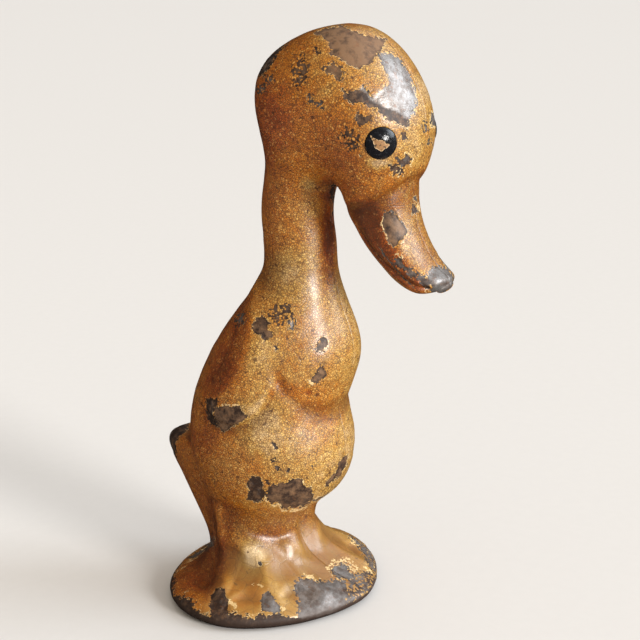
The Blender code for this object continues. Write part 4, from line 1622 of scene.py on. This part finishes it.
@dataclass(frozen=True)
class BareIron:
    """Old cast iron: handled bright in places, and under a brown film in others."""

    dark: Colour = (0.19, 0.155, 0.135)
    bright: Colour = (0.38, 0.355, 0.34)
    film: Colour = (0.225, 0.120, 0.056)
    film_dark: Colour = (0.042, 0.019, 0.010)
    rust: Colour = (0.240, 0.085, 0.022)
    grain: float = 0.35
    grain_height: float = 0.04
    grain_gloss: float = 0.22
    patch: float = 1.6
    patch_height: float = 0.06
    wander: float = 0.672
    film_from: float = 0.12
    film_full: float = 0.5
    film_gloss: float = 0.18
    film_gain: float = 1.3
    film_mottle: float = 3.4
    rust_share: float = 0.35
    roughness: float = 0.26

    def polish(self, tree: ShaderTree, where: Source) -> Value:
        """How far the iron is free of film, from 0 to 1."""
        wander = (tree.noise(where, 1.1, 4.0, 0.7) - 0.5) * self.wander
        return 1.0 - (tree.attribute("brown") + wander).past(self.film_from, self.film_full)

    def colour(self, tree: ShaderTree, where: Source) -> Source:
        """Mottled grey where it is polished and mottled brown under the film, with a little rust."""
        mottle = tree.noise(where, self.patch, 4.0, 0.65)
        metal = tree.blend(mottle.past(0.30, 0.70), self.dark, self.bright)
        lighter = (tree.attribute("brown") - 0.5) * self.film_gain + (mottle - 0.5) * self.film_mottle
        film = tree.blend(lighter.share(), self.film_dark, self.film)
        rusty = tree.noise(tree.shaken(where, 1.0, 0.4), 0.9, 3.0, 0.6).past(0.56, 0.7)
        return tree.coats(film, (self.polish(tree, where), metal), (rusty * self.rust_share, self.rust))

    def height(self, tree: ShaderTree, where: Source) -> Value:
        """The sand grain of the casting, in millimetres."""
        patches = tree.noise(where, self.patch, 2.0) * self.patch_height
        return tree.noise(where, self.grain, 3.0, 0.6) * self.grain_height + patches

    def gloss(self, tree: ShaderTree, where: Source) -> Value:
        """Roughness, higher in the grain and under the film."""
        covered = (1.0 - self.polish(tree, where)) * self.film_gloss
        return tree.noise(where, self.grain, 2.0) * self.grain_gloss + self.roughness + covered


@dataclass(frozen=True)
class Crackle:
    """The breaks in the enamel, which its colour, its height and its gloss share.

    cell is a random number for each fine cell and crack the distance to its edge; plate is the distance to
    the wider cracks; fine is a noise; bare and under are 1 on the iron and where the undercoat shows;
    crackled is how strong the fine crackle is and lines how dark its lines are.
    """

    cell: Value
    crack: Value
    plate: Value
    fine: Value
    bare: Value
    under: Value
    crackled: Value
    lines: Value


@dataclass(frozen=True)
class AgedEnamel:
    """Ochre enamel, crackled into fine cells with dark lines, over a cream undercoat on bare iron, with
    painted shade, highlights and glints in its colour.
    """

    name: str = "aged_ochre_enamel"
    # worn is the pale of worn paint and also the colour of the painted highlights.
    worn: Colour = (0.88, 0.67, 0.38)
    pale: Colour = (0.67, 0.395, 0.088)
    middle: Colour = (0.60, 0.212, 0.009)
    deep: Colour = (0.42, 0.088, 0.002)
    line: Colour = (0.070, 0.018, 0.002)
    # The colour of the painted glints on the crackle's cells.
    painted_glint: Colour = (0.90, 0.58, 0.18)
    tan: Colour = (0.43, 0.25, 0.085)
    cream: Colour = (0.84, 0.62, 0.30)
    cell_tint: Colour = (0.58, 0.35, 0.14)
    glaze_tint: Colour = (0.66, 0.62, 0.48)
    cell: float = 0.46
    plate: float = 3.4
    line_width: float = 0.22
    edge_width: float = 0.03
    cloudy: float = 0.9
    cell_share: float = 0.5
    line_share: float = 0.74
    painted_glint_share: float = 0.4
    pit_share: float = 0.7
    plate_share: float = 0.4
    hollow_share: float = 0.4
    tan_share: float = 0.3
    painted_edge_shadow: float = 0.55
    bottom_darkening: float = 0.85
    rim_top: tuple[float, float] = (1.6, 3.8)
    roughness: float = 0.26
    iron: BareIron = BareIron()

    def crackle(self, tree: ShaderTree, where: Source) -> Crackle:
        """The cells, the cracks and the ragged edges of the chips."""
        shaken = tree.shaken(where, 1.1, 0.28)
        cell, crack = tree.cells(shaken, self.cell), tree.cracks(shaken, self.cell)
        plate = tree.cracks(tree.shaken(where, 2.4, 0.7), self.plate)
        fine = tree.noise(where, 0.5, 3.0, 0.6)
        edge = (cell - 0.5) * tree.attribute("ragged") * 1.6 + (fine - 0.5) * 0.35
        bare = (tree.attribute("bare") + edge).past(-self.edge_width, self.edge_width)
        under = (tree.attribute("cream") + edge).past(-self.edge_width, self.edge_width)
        crackled = 1.0 - tree.attribute("glaze") * 0.75
        uneven = 0.45 + 0.9 * tree.noise(where, 1.6, 3.0)
        lines = (1.0 - crack.past(0.03, self.line_width)) * uneven * crackled
        return Crackle(cell, crack, plate, fine, bare, under, crackled, lines)

    def paint(self, tree: ShaderTree, where: Source, crackle: Crackle) -> Source:
        """The enamel's colour: deeper with its tone, which holds painted shade and highlights as well as
        paler and deeper enamel; with painted glints on its brightest cells; darker in lines, pits and
        hollows; and smoother, darker and more tan on the feet.
        """
        tone = tree.attribute("tone") + (tree.noise(where, 1.9, 4.0, 0.65) - 0.5) * self.cloudy
        # Below zero the tone turns towards the worn colour: worn paint in places, painted highlights on the
        # cheek, the neck, the flank and the instep in others.
        rubbed = (tone * -1.6).share()
        body = tree.coats(
            self.pale,
            (rubbed, self.worn),
            ((tone * 2.0).share(), self.middle),
            ((tone * 2.0 - 1.0).share(), self.deep),
            # Past 0.95 the tone darkens towards the line colour: painted shade on the neck and the back of
            # the head.
            (((tone - 0.95) * 1.4).least(0.6).most(0.0), self.line),
        )
        # Painted glints: the brightest cells catch a painted highlight, fainter where the tone is deep.
        glint = (1.0 - crackle.cell).past(0.78, 0.95) * crackle.crack.past(0.04, 0.2) * crackle.crackled
        body = tree.coats(
            body,
            (crackle.cell * self.cell_share * crackle.crackled, tree.tinted(body, self.cell_tint)),
            (glint * (self.painted_glint_share - tree.attribute("tone") * 0.2), self.painted_glint),
            (crackle.lines * self.line_share, self.line),
            (tree.noise(tree.shaken(where, 0.7, 0.3), 1.3, 1.0).past(0.70, 0.75) * self.pit_share, self.line),
            ((1.0 - crackle.plate.past(0.004, 0.03)) * self.plate_share, self.line),
            (tree.attribute("hollow") * self.hollow_share, self.line),
        )
        glazed = tree.blend(self.tan_share, tree.tinted(body, self.glaze_tint), self.tan)
        return tree.blend(tree.attribute("glaze") * (1.0 - rubbed), body, glazed)

    def relief(self, tree: ShaderTree, where: Source, crackle: Crackle) -> Value:
        """Height of the enamel's cells and of the bare iron's grain, in millimetres."""
        cells = crackle.crack.past(0.0, 0.25) * crackle.crackled * 0.014
        cells = cells + crackle.cell * crackle.crackled * 0.007
        skin = cells + tree.noise(where, 1.1, 3.0, 0.6) * 0.04 + crackle.plate.past(0.0, 0.05) * 0.02
        return skin * (1.0 - crackle.bare) + self.iron.height(tree, where) * crackle.bare

    def build(self) -> Material:
        """The material."""
        tree = ShaderTree.material(self.name)
        where = tree.place_mm()
        crackle = self.crackle(tree, where)
        bare, covered = crackle.bare, 1.0 - crackle.bare
        paint = self.paint(tree, where, crackle)
        cream = tree.blend(crackle.fine.past(0.3, 0.7) * 0.5, self.cream, paint)
        # Painted shadow of the paint's thickness: the iron darkens next to the enamel's edge.
        edge = (1.0 - tree.attribute("bare").past(0.0, 0.5)) * self.painted_edge_shadow
        # The iron is darker towards the bottom of the base.
        rim = 1.0 - tree.height_of(where).past(*self.rim_top)
        iron = tree.blend(edge.most(rim * self.bottom_darkening), self.iron.colour(tree, where), self.iron.film_dark)
        sheen = tree.noise(where, 1.3, 2.0) * 0.2 + self.roughness + crackle.lines * 0.1
        return tree.finish(
            base_color=tree.coats(paint, (crackle.under, cream), (bare, iron)),
            roughness=sheen * covered + (self.iron.gloss(tree, where) + rim * 0.2) * bare,
            metallic=bare * self.iron.polish(tree, where) * (1.0 - rim) * 0.65,
            specular_ior_level=0.7,
            coat_weight=covered * 0.5,
            coat_roughness=0.3,
            normal=tree.raised(self.relief(tree, where, crackle)),
        )


@dataclass(frozen=True)
class RawIron:
    """Cast iron as it comes out of the sand: the seam faces, the hollow and the underside."""

    name: str = "raw_cast_iron"
    iron: BareIron = BareIron((0.045, 0.034, 0.028), (0.14, 0.12, 0.10), (0.13, 0.095, 0.07), roughness=0.5)

    def build(self) -> Material:
        """The material."""
        tree = ShaderTree.material(self.name)
        where = tree.place_mm()
        return tree.finish(
            base_color=self.iron.colour(tree, where),
            roughness=self.iron.gloss(tree, where),
            metallic=self.iron.polish(tree, where) * 0.5,
            normal=tree.raised(self.iron.height(tree, where)),
        )


@dataclass(frozen=True)
class EyeGloss:
    """Thick black gloss on the eyes, scratched, with a chip down to the ochre."""

    name: str = "eye_black_gloss"
    black: Colour = (0.010, 0.010, 0.012)
    worn: Colour = (0.060, 0.062, 0.072)
    ochre: Colour = (0.36, 0.19, 0.08)
    ochre_deep: Colour = (0.35, 0.17, 0.05)
    cream: Colour = (0.60, 0.40, 0.20)

    def build(self) -> Material:
        """The material."""
        tree = ShaderTree.material(self.name)
        where = tree.place_mm()
        fine = tree.noise(where, 0.35, 3.0, 0.6)
        edge = tree.attribute("bare") + (fine - 0.5) * 0.18
        bare = edge.past(-0.02, 0.02)
        rim = bare * (1.0 - edge.past(0.08, 0.16))
        worn = tree.noise(where, 0.8, 4.0, 0.7).past(0.52, 0.72)
        ochre = tree.coats(
            self.ochre,
            (fine.past(0.35, 0.65) * 0.5, self.ochre_deep),
            (rim, self.cream),
            (tree.noise(where, 0.45, 2.0).past(0.56, 0.6) * 0.8, self.black),
        )
        height = tree.noise(where, 0.6, 3.0, 0.6) * 0.05 + tree.noise(where, 0.2, 2.0) * 0.012
        return tree.finish(
            base_color=tree.coats(self.black, (worn * 0.6, self.worn), (bare, ochre)),
            roughness=0.16 + worn * 0.14 + bare * 0.35,
            normal=tree.raised(height),
        )


@dataclass(frozen=True)
class ScrewSteel:
    """Dark steel of the screw, with ochre enamel left on its head and bright worn edges."""

    name: str = "dark_screw_steel"
    dark: Colour = (0.060, 0.050, 0.045)
    bright: Colour = (0.26, 0.23, 0.20)
    ochre: Colour = (0.45, 0.22, 0.05)

    def build(self) -> Material:
        """The material."""
        tree = ShaderTree.material(self.name)
        where = tree.place_mm()
        mottle = tree.noise(where, 0.9, 4.0, 0.65)
        patchy = tree.noise(tree.shaken(where, 0.8, 0.4), 1.3, 3.0, 0.6)
        paint = (patchy + tree.attribute("paint") * 0.5).past(0.82, 0.88)
        return tree.finish(
            base_color=tree.coats(self.dark, (mottle.past(0.35, 0.7), self.bright), (paint, self.ochre)),
            roughness=0.36 + mottle * 0.2 + paint * 0.1,
            metallic=(1.0 - paint) * 0.8,
            normal=tree.raised(mottle * 0.04 + paint * 0.06 + tree.noise(where, 0.15, 2.0) * 0.01),
        )


@dataclass
class HalfCasting:
    """One hollow half of the duckling."""

    side: Side
    skin: Skin = field(default_factory=Skin)
    core_rows: int = 60
    core_columns: int = 48

    def outside(self, finishes: Sequence[Material]) -> Body:
        """The closed outside: the skin, the flat seam face, the underside and the tip of the bill.

        Args:
            finishes: The enamel and the raw iron.

        Returns:
            The object, still solid.
        """
        points, fields = self.skin.dressed(self.side)
        points[..., 1] += FITS.seam_gap / 2
        rows, columns = points.shape[:2]
        pole = 0.5 * (points[-1, 0] + points[-1, -1])
        turn = -1 if self.side is Side.LEFT else 1
        quads = grid_faces(rows, columns, self.side is Side.LEFT)
        ring = np.arange(columns)
        cap = fan(ring + (rows - 1) * columns, rows * columns)
        faces = quads.tolist() + cap[:, ::turn].tolist() + [ring[::-turn].tolist()]
        seam = ring == columns - 1
        raw = np.concatenate([np.tile(seam, rows), [True]]).astype(int)
        values = {name: np.append(each.ravel(), each[-1, 0]) for name, each in fields.items()}
        flat = np.concatenate([points.reshape(-1, 3), pole[None]])
        casting = new_piece(f"{self.side.word()}_half", place(flat, self.side), faces, values, raw)
        for finish in finishes:
            casting.data.materials.append(finish)
        return casting

    def core(self) -> Body:
        """The hollow in both halves, one wall in from the skin, with the screw's boss left standing."""
        numbers = np.linspace(LOFT.rib_at(FITS.floor), LAST_HEAD_RIB - FITS.solid_face, self.core_rows)
        rings = place(Loft.ovals(Loft.inset(LOFT.values(numbers), FITS.wall), circle(self.core_columns)))
        faces = grid_faces(*rings.shape[:2], flip=False).tolist()
        count = self.core_rows * self.core_columns
        faces += [list(range(self.core_columns))[::-1], list(range(count - self.core_columns, count))]
        core = new_piece("core", rings.reshape(-1, 3), faces)
        radius = FITS.screw_radius + FITS.clearance + FITS.boss_wall
        boss = self.pin("boss", FITS.screw_spot, radius, FITS.past_skin, FITS.past_skin)
        combine(core, [(boss, Cut.TAKE)])
        return core

    @staticmethod
    def pin(name: str, spot: Spot, radius: float, rightward: float, leftward: float) -> Body:
        """A pin across the seam, which reaches a length into each half."""
        profile = np.array([(0.0, leftward), (radius, leftward), (radius, -rightward), (0.0, -rightward)])
        return move(revolved(name, profile, 48), across_seam(spot))

    def screw_hole(self) -> Body:
        """The countersunk hole through the left half, and its blind end in the right half."""
        top = FITS.screw_top()
        head, shank = FITS.screw_head + FITS.head_clearance, FITS.screw_radius + FITS.clearance
        above, bottom = top + FITS.overrun, -FITS.screw_reach - FITS.clearance
        profile = np.array([
            (0.0, above), (head, above), (head, top - FITS.screw_rim), (shank, top - FITS.screw_head_depth),
            (shank, bottom), (0.0, bottom),
        ])
        return move(revolved("screw_hole", profile), across_seam(FITS.screw_spot))

    def eye_socket(self) -> Body:
        """The round seat and blind hole of the eye stud."""
        seat, hole = FITS.eye_radius - FITS.eye_squeeze, FITS.eye_shank + FITS.clearance
        bottom = -FITS.eye_seat - FITS.eye_shank_length
        profile = np.array([
            (0.0, FITS.overrun), (seat, FITS.overrun), (seat, -FITS.eye_seat), (hole, -FITS.eye_seat),
            (hole, bottom), (0.0, bottom),
        ])
        return move(revolved("eye_socket", profile), eye_place(self.side))

    def build(self, finishes: Sequence[Material]) -> Body:
        """The casting with its hollow, holes and pegs or peg sockets.

        Args:
            finishes: The enamel and the raw iron.

        Returns:
            The finished object.
        """
        casting = self.outside(finishes)
        cutters = [(self.core(), Cut.TAKE), (self.screw_hole(), Cut.TAKE), (self.eye_socket(), Cut.TAKE)]
        slack, cut = (0.0, Cut.ADD) if self.side is Side.RIGHT else (FITS.clearance, Cut.TAKE)
        radius, length = FITS.peg_radius + slack, FITS.peg_length
        for index, spot in enumerate(FITS.peg_spots()):
            cutters.append((self.pin(f"peg_{index}", spot, radius, length, length + slack), cut))
        for cutter, _ in cutters:
            for finish in finishes:
                cutter.data.materials.append(finish)
            cutter.data.polygons.foreach_set("material_index", np.ones(len(cutter.data.polygons), int))
        combine(casting, cutters)
        casting.name = f"{self.side.word()}_half_painted_casting"
        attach(casting, "root")
        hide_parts(f"{self.side.word()}_half_casting")
        return casting


@dataclass
class EyeStud:
    """A domed eye with a brush-painted edge, on a shank in its seat."""

    side: Side
    chip: Chip = Chip(((369.5, 135), (375.6, 138.6), (378.7, 141), (381.7, 140), (384.4, 141), (386.3, 144),
                       (389.4, 144.7), (386.7, 148.6), (383.3, 151), (381, 152), (378, 149.3), (374.5, 147.8),
                       (374.5, 144.7), (372.5, 141), (370.6, 137.8)), 0.0, 0.1)
    far_chip: Blot = Blot((31.5, -12.6, 103.6), (0.9, 2.0, 0.7), 0.0, 0.1)
    rings: int = 44
    turns: int = 120
    sink: float = 0.09
    sink_fade: float = 0.1
    radius: float = 3.12
    dome: float = 1.25
    edge: float = 0.06
    chamfer: float = 0.3
    waves: tuple[tuple[float, int, float], ...] = ((0.012, 3, 0.6), (0.010, 5, 2.1), (0.006, 9, 0.0))

    def outline(self) -> Array:
        """Factors on the radius round the eye: a few slow waves, as a brush leaves them."""
        angle = circle(self.turns)
        return 1.0 + sum(size * np.cos(count * angle + start) for size, count, start in self.waves)

    def build(self, finish: Material) -> Body:
        """The stud.

        Args:
            finish: The black gloss.

        Returns:
            The finished object: a part of a ball for the dome, a rounded edge and a plain shank.
        """
        ball = (self.radius ** 2 + self.dome ** 2) / (2 * self.dome)
        angle = np.linspace(0.0, math.asin(min(1.0, self.radius / ball)), self.rings)
        dome = np.stack([ball * np.sin(angle), self.dome - ball + ball * np.cos(angle)], axis=-1)
        under = FITS.clearance - FITS.eye_seat
        foot = under - FITS.eye_shank_length
        shank = np.array([
            (self.radius, 0.3 * under), (self.radius - self.edge, under), (FITS.eye_shank, under),
            (FITS.eye_shank, foot + self.chamfer), (FITS.eye_shank - self.chamfer, foot), (0.0, foot),
        ])
        profile = np.concatenate([dome, shank])
        stud = revolved(f"{self.side.word()}_eye_stud", profile, self.turns, self.outline())
        mesh = stud.data
        points = mesh_points(mesh)
        matrix = np.array(eye_place(self.side))
        out = matrix[:3, 2]
        placed = points @ matrix[:3, :3].T + matrix[:3, 3]
        body = duckling_axes(placed) / MM + np.array([MIDDLE, 0.0, 0.0])
        seen = Seen.of(body, np.tile(duckling_axes(out), (len(body), 1)))
        bare = (self.chip if self.side is Side.RIGHT else self.far_chip).field(seen)
        bare = np.where(points[:, 2] > 0, bare, -1.0)
        placed -= out * (self.sink * MM * ramp(bare / self.sink_fade))[:, None]
        set_mesh_points(mesh, placed)
        add_field(mesh, "bare", bare)
        mesh.set_sharp_from_angle(angle=math.radians(50))
        mesh.materials.append(finish)
        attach(stud, "root")
        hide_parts(f"{self.side.word()}_eye")
        return stud


@dataclass
class JoiningScrew:
    """The countersunk slotted screw that holds the halves together."""

    slot_width: float = 0.9
    slot_depth: float = 0.9
    slot_bow: float = 0.12
    pitch: float = 0.7
    thread: float = 0.22
    thread_rows: int = 330
    plain_shank: float = 5.0
    plain_point: float = 0.6
    edge: float = 0.2
    point: float = 0.5
    painted_from: float = 2.2
    painted_fade: float = 1.2
    turns: int = 72

    def thread_profile(self) -> Array:
        """Rows of radius and height from the slotted top to the point."""
        top = FITS.screw_top()
        wide, under, bottom = FITS.screw_head, top - FITS.screw_head_depth, -FITS.screw_reach
        head = [(0.0, top), (0.5 * wide, top), (wide - self.edge, top),
                (wide - 0.25 * self.edge, top - 0.3 * self.edge), (wide, top - self.edge),
                (wide, top - FITS.screw_rim), (FITS.screw_radius, under)]
        rows = np.linspace(under - 0.1, bottom + self.point, self.thread_rows)
        shank = [(FITS.screw_radius, height) for height in rows]
        return np.array(head + shank + [(FITS.screw_radius - self.point, bottom), (0.0, bottom)])

    def build(self, finish: Material) -> Body:
        """The screw.

        Args:
            finish: The dark steel.

        Returns:
            The finished object: a turned profile whose shank is cut by a V that climbs one pitch a turn.
        """
        screw = revolved("slotted_joining_screw", self.thread_profile(), self.turns)
        top = FITS.screw_top()
        points = mesh_points(screw.data)
        height, angle = points[:, 2] / MM, np.arctan2(points[:, 1], points[:, 0])
        radius = np.hypot(points[:, 0], points[:, 1]) / MM
        phase = np.mod(height / self.pitch - angle / (2 * math.pi), 1.0)
        groove = self.thread * (1.0 - np.abs(2.0 * phase - 1.0))
        upper = ramp((top - self.plain_shank - height) / 0.8)
        lower = ramp((height + FITS.screw_reach - self.plain_point) / 0.3)
        cut = groove * upper * lower / np.maximum(radius, 0.1)
        points[:, :2] *= (1.0 - np.where(radius > 0.9 * FITS.screw_radius, cut, 0.0))[:, None]
        set_mesh_points(screw.data, points)
        rubbed = ramp((radius - self.painted_from) / self.painted_fade)
        add_field(screw.data, "paint", np.where(height > top - 0.5, rubbed, 0.0))
        combine(screw, [(self.slot(), Cut.TAKE)])
        screw.data.materials.clear()
        screw.data.materials.append(finish)
        screw.data.set_sharp_from_angle(angle=math.radians(40))
        move(screw, across_seam(FITS.screw_spot))
        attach(screw, "root")
        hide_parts("joining_screw")
        return screw

    def slot(self) -> Body:
        """The cutter of the driver's slot: a box whose floor bows up a little at its middle."""
        reach, half, deep = 1.4 * FITS.screw_head, 0.5 * self.slot_width, self.slot_depth
        along = np.linspace(-reach, reach, 25)
        floor = -deep + self.slot_bow * (1 - (along / reach) ** 2)
        top = np.full_like(along, deep)
        section = [(-half, floor), (half, floor), (half, top), (-half, top)]
        rings = np.stack([np.stack([np.full_like(along, x), along, z], axis=-1) for x, z in section], axis=1)
        rings[..., 2] += FITS.screw_top()
        faces = grid_faces(along.size, 4, flip=False).tolist()
        count = along.size * 4
        faces += [[3, 2, 1, 0], [count - 4, count - 3, count - 2, count - 1]]
        return new_piece("screw_slot", rings.reshape(-1, 3) * MM, faces)


@dataclass(frozen=True)
class Lamp:
    """A sun, whose direction is given along the photograph's right, up and towards the camera."""

    name: str
    towards: Spot
    angle: float
    power: float
    colour: Colour

    def build(self) -> Body:
        """The lamp, turned to shine from its direction."""
        right, up, back = VIEWPOINT.axes()
        towards = self.towards[0] * right + self.towards[1] * up + self.towards[2] * back
        data = bpy.data.lights.new(self.name, "SUN")
        data.angle = math.radians(self.angle)
        data.energy = self.power
        data.color = self.colour
        lamp = linked(self.name, data)
        shine = Vector(place(np.zeros(3))) - Vector(place(towards))
        lamp.rotation_euler = shine.to_track_quat("-Z", "Y").to_euler()
        return lamp


@dataclass
class Studio:
    """A pale floor, soft lamps and the photograph's view."""

    floor_colour: Colour = (0.73, 0.725, 0.72)
    floor_half: float = 4.0
    floor_steps: int = 9
    lamps: tuple[Lamp, ...] = (
        Lamp("soft_key", (0.67, 0.10, 0.73), 17.0, 2.85, (1.0, 0.975, 0.94)),
        Lamp("cool_side", (0.86, 0.42, 0.12), 36.0, 1.7, (0.84, 0.92, 1.0)),
        Lamp("cool_top", (0.45, 0.85, -0.05), 70.0, 0.8, (0.84, 0.92, 1.0)),
    )
    sky_colour: Colour = (0.97, 0.985, 1.0)
    fill_colour: Colour = (1.0, 0.87, 0.72)
    fill: float = 0.65
    gloss: float = 0.015
    backdrop: float = 0.86

    def floor(self) -> Body:
        """The plain floor, a flat grid."""
        steps = np.linspace(-self.floor_half, self.floor_half, self.floor_steps)
        across, along = np.meshgrid(steps, steps)
        points = np.stack([across, along, np.zeros_like(across)], axis=-1).reshape(-1, 3)
        faces = grid_faces(self.floor_steps, self.floor_steps, False, closed=False).tolist()
        floor = new_piece("studio_floor", points, faces)
        tree = ShaderTree.material("pale_floor")
        speckle = tree.noise(tree.place_mm(), 3.0, 3.0, 0.6)
        darker = tuple(0.96 * part for part in self.floor_colour)
        speckled = tree.blend(speckle, self.floor_colour, darker)
        floor.data.materials.append(tree.finish(base_color=speckled, roughness=0.7))
        floor.visible_glossy = False
        return floor

    def world(self) -> bpy.types.World:
        """An even surrounding: pale to the camera, softer as a light and darker in gloss."""
        tree = ShaderTree(bpy.data.worlds.new("pale_surrounding"), "Background")
        rays = tree.node("ShaderNodeLightPath").outputs
        glossy, seen = Value(tree, rays["Is Glossy Ray"]), Value(tree, rays["Is Camera Ray"])
        strength: Number = self.fill
        for ray, value in ((glossy, self.gloss), (seen, self.backdrop)):
            strength = tree.value(0, "ShaderNodeMix", {}, {0: ray, 2: strength, 3: value})
        colour = tree.blend(seen, self.fill_colour, self.sky_colour)
        world = tree.finish(color=colour, strength=strength)
        bpy.context.scene.world = world
        return world

    def build(self) -> None:
        """The camera, floor, lamps and surrounding."""
        VIEWPOINT.camera()
        self.floor()
        for lamp in self.lamps:
            lamp.build()
        self.world()
        bpy.context.scene.view_settings.view_transform = "Standard"


def report(piece: Body) -> None:
    """Logs a piece's name, size and triangles."""
    size = ", ".join(f"{length / MM:.1f}" for length in piece.dimensions)
    piece.data.calc_loop_triangles()
    LOG.info("%s: %s mm, %d triangles", piece.name, size, len(piece.data.loop_triangles))


def main() -> None:
    """Builds the studio and the duckling, piece by piece."""
    logging.basicConfig(level=logging.INFO, format="%(relativeCreated)6d ms %(message)s")
    Studio().build()
    finishes = (AgedEnamel().build(), RawIron().build())
    for side in Side:
        report(HalfCasting(side).build(finishes))
    report(JoiningScrew().build(ScrewSteel().build()))
    gloss = EyeGloss().build()
    for side in Side:
        report(EyeStud(side).build(gloss))


if __name__ == "__main__":
    main()
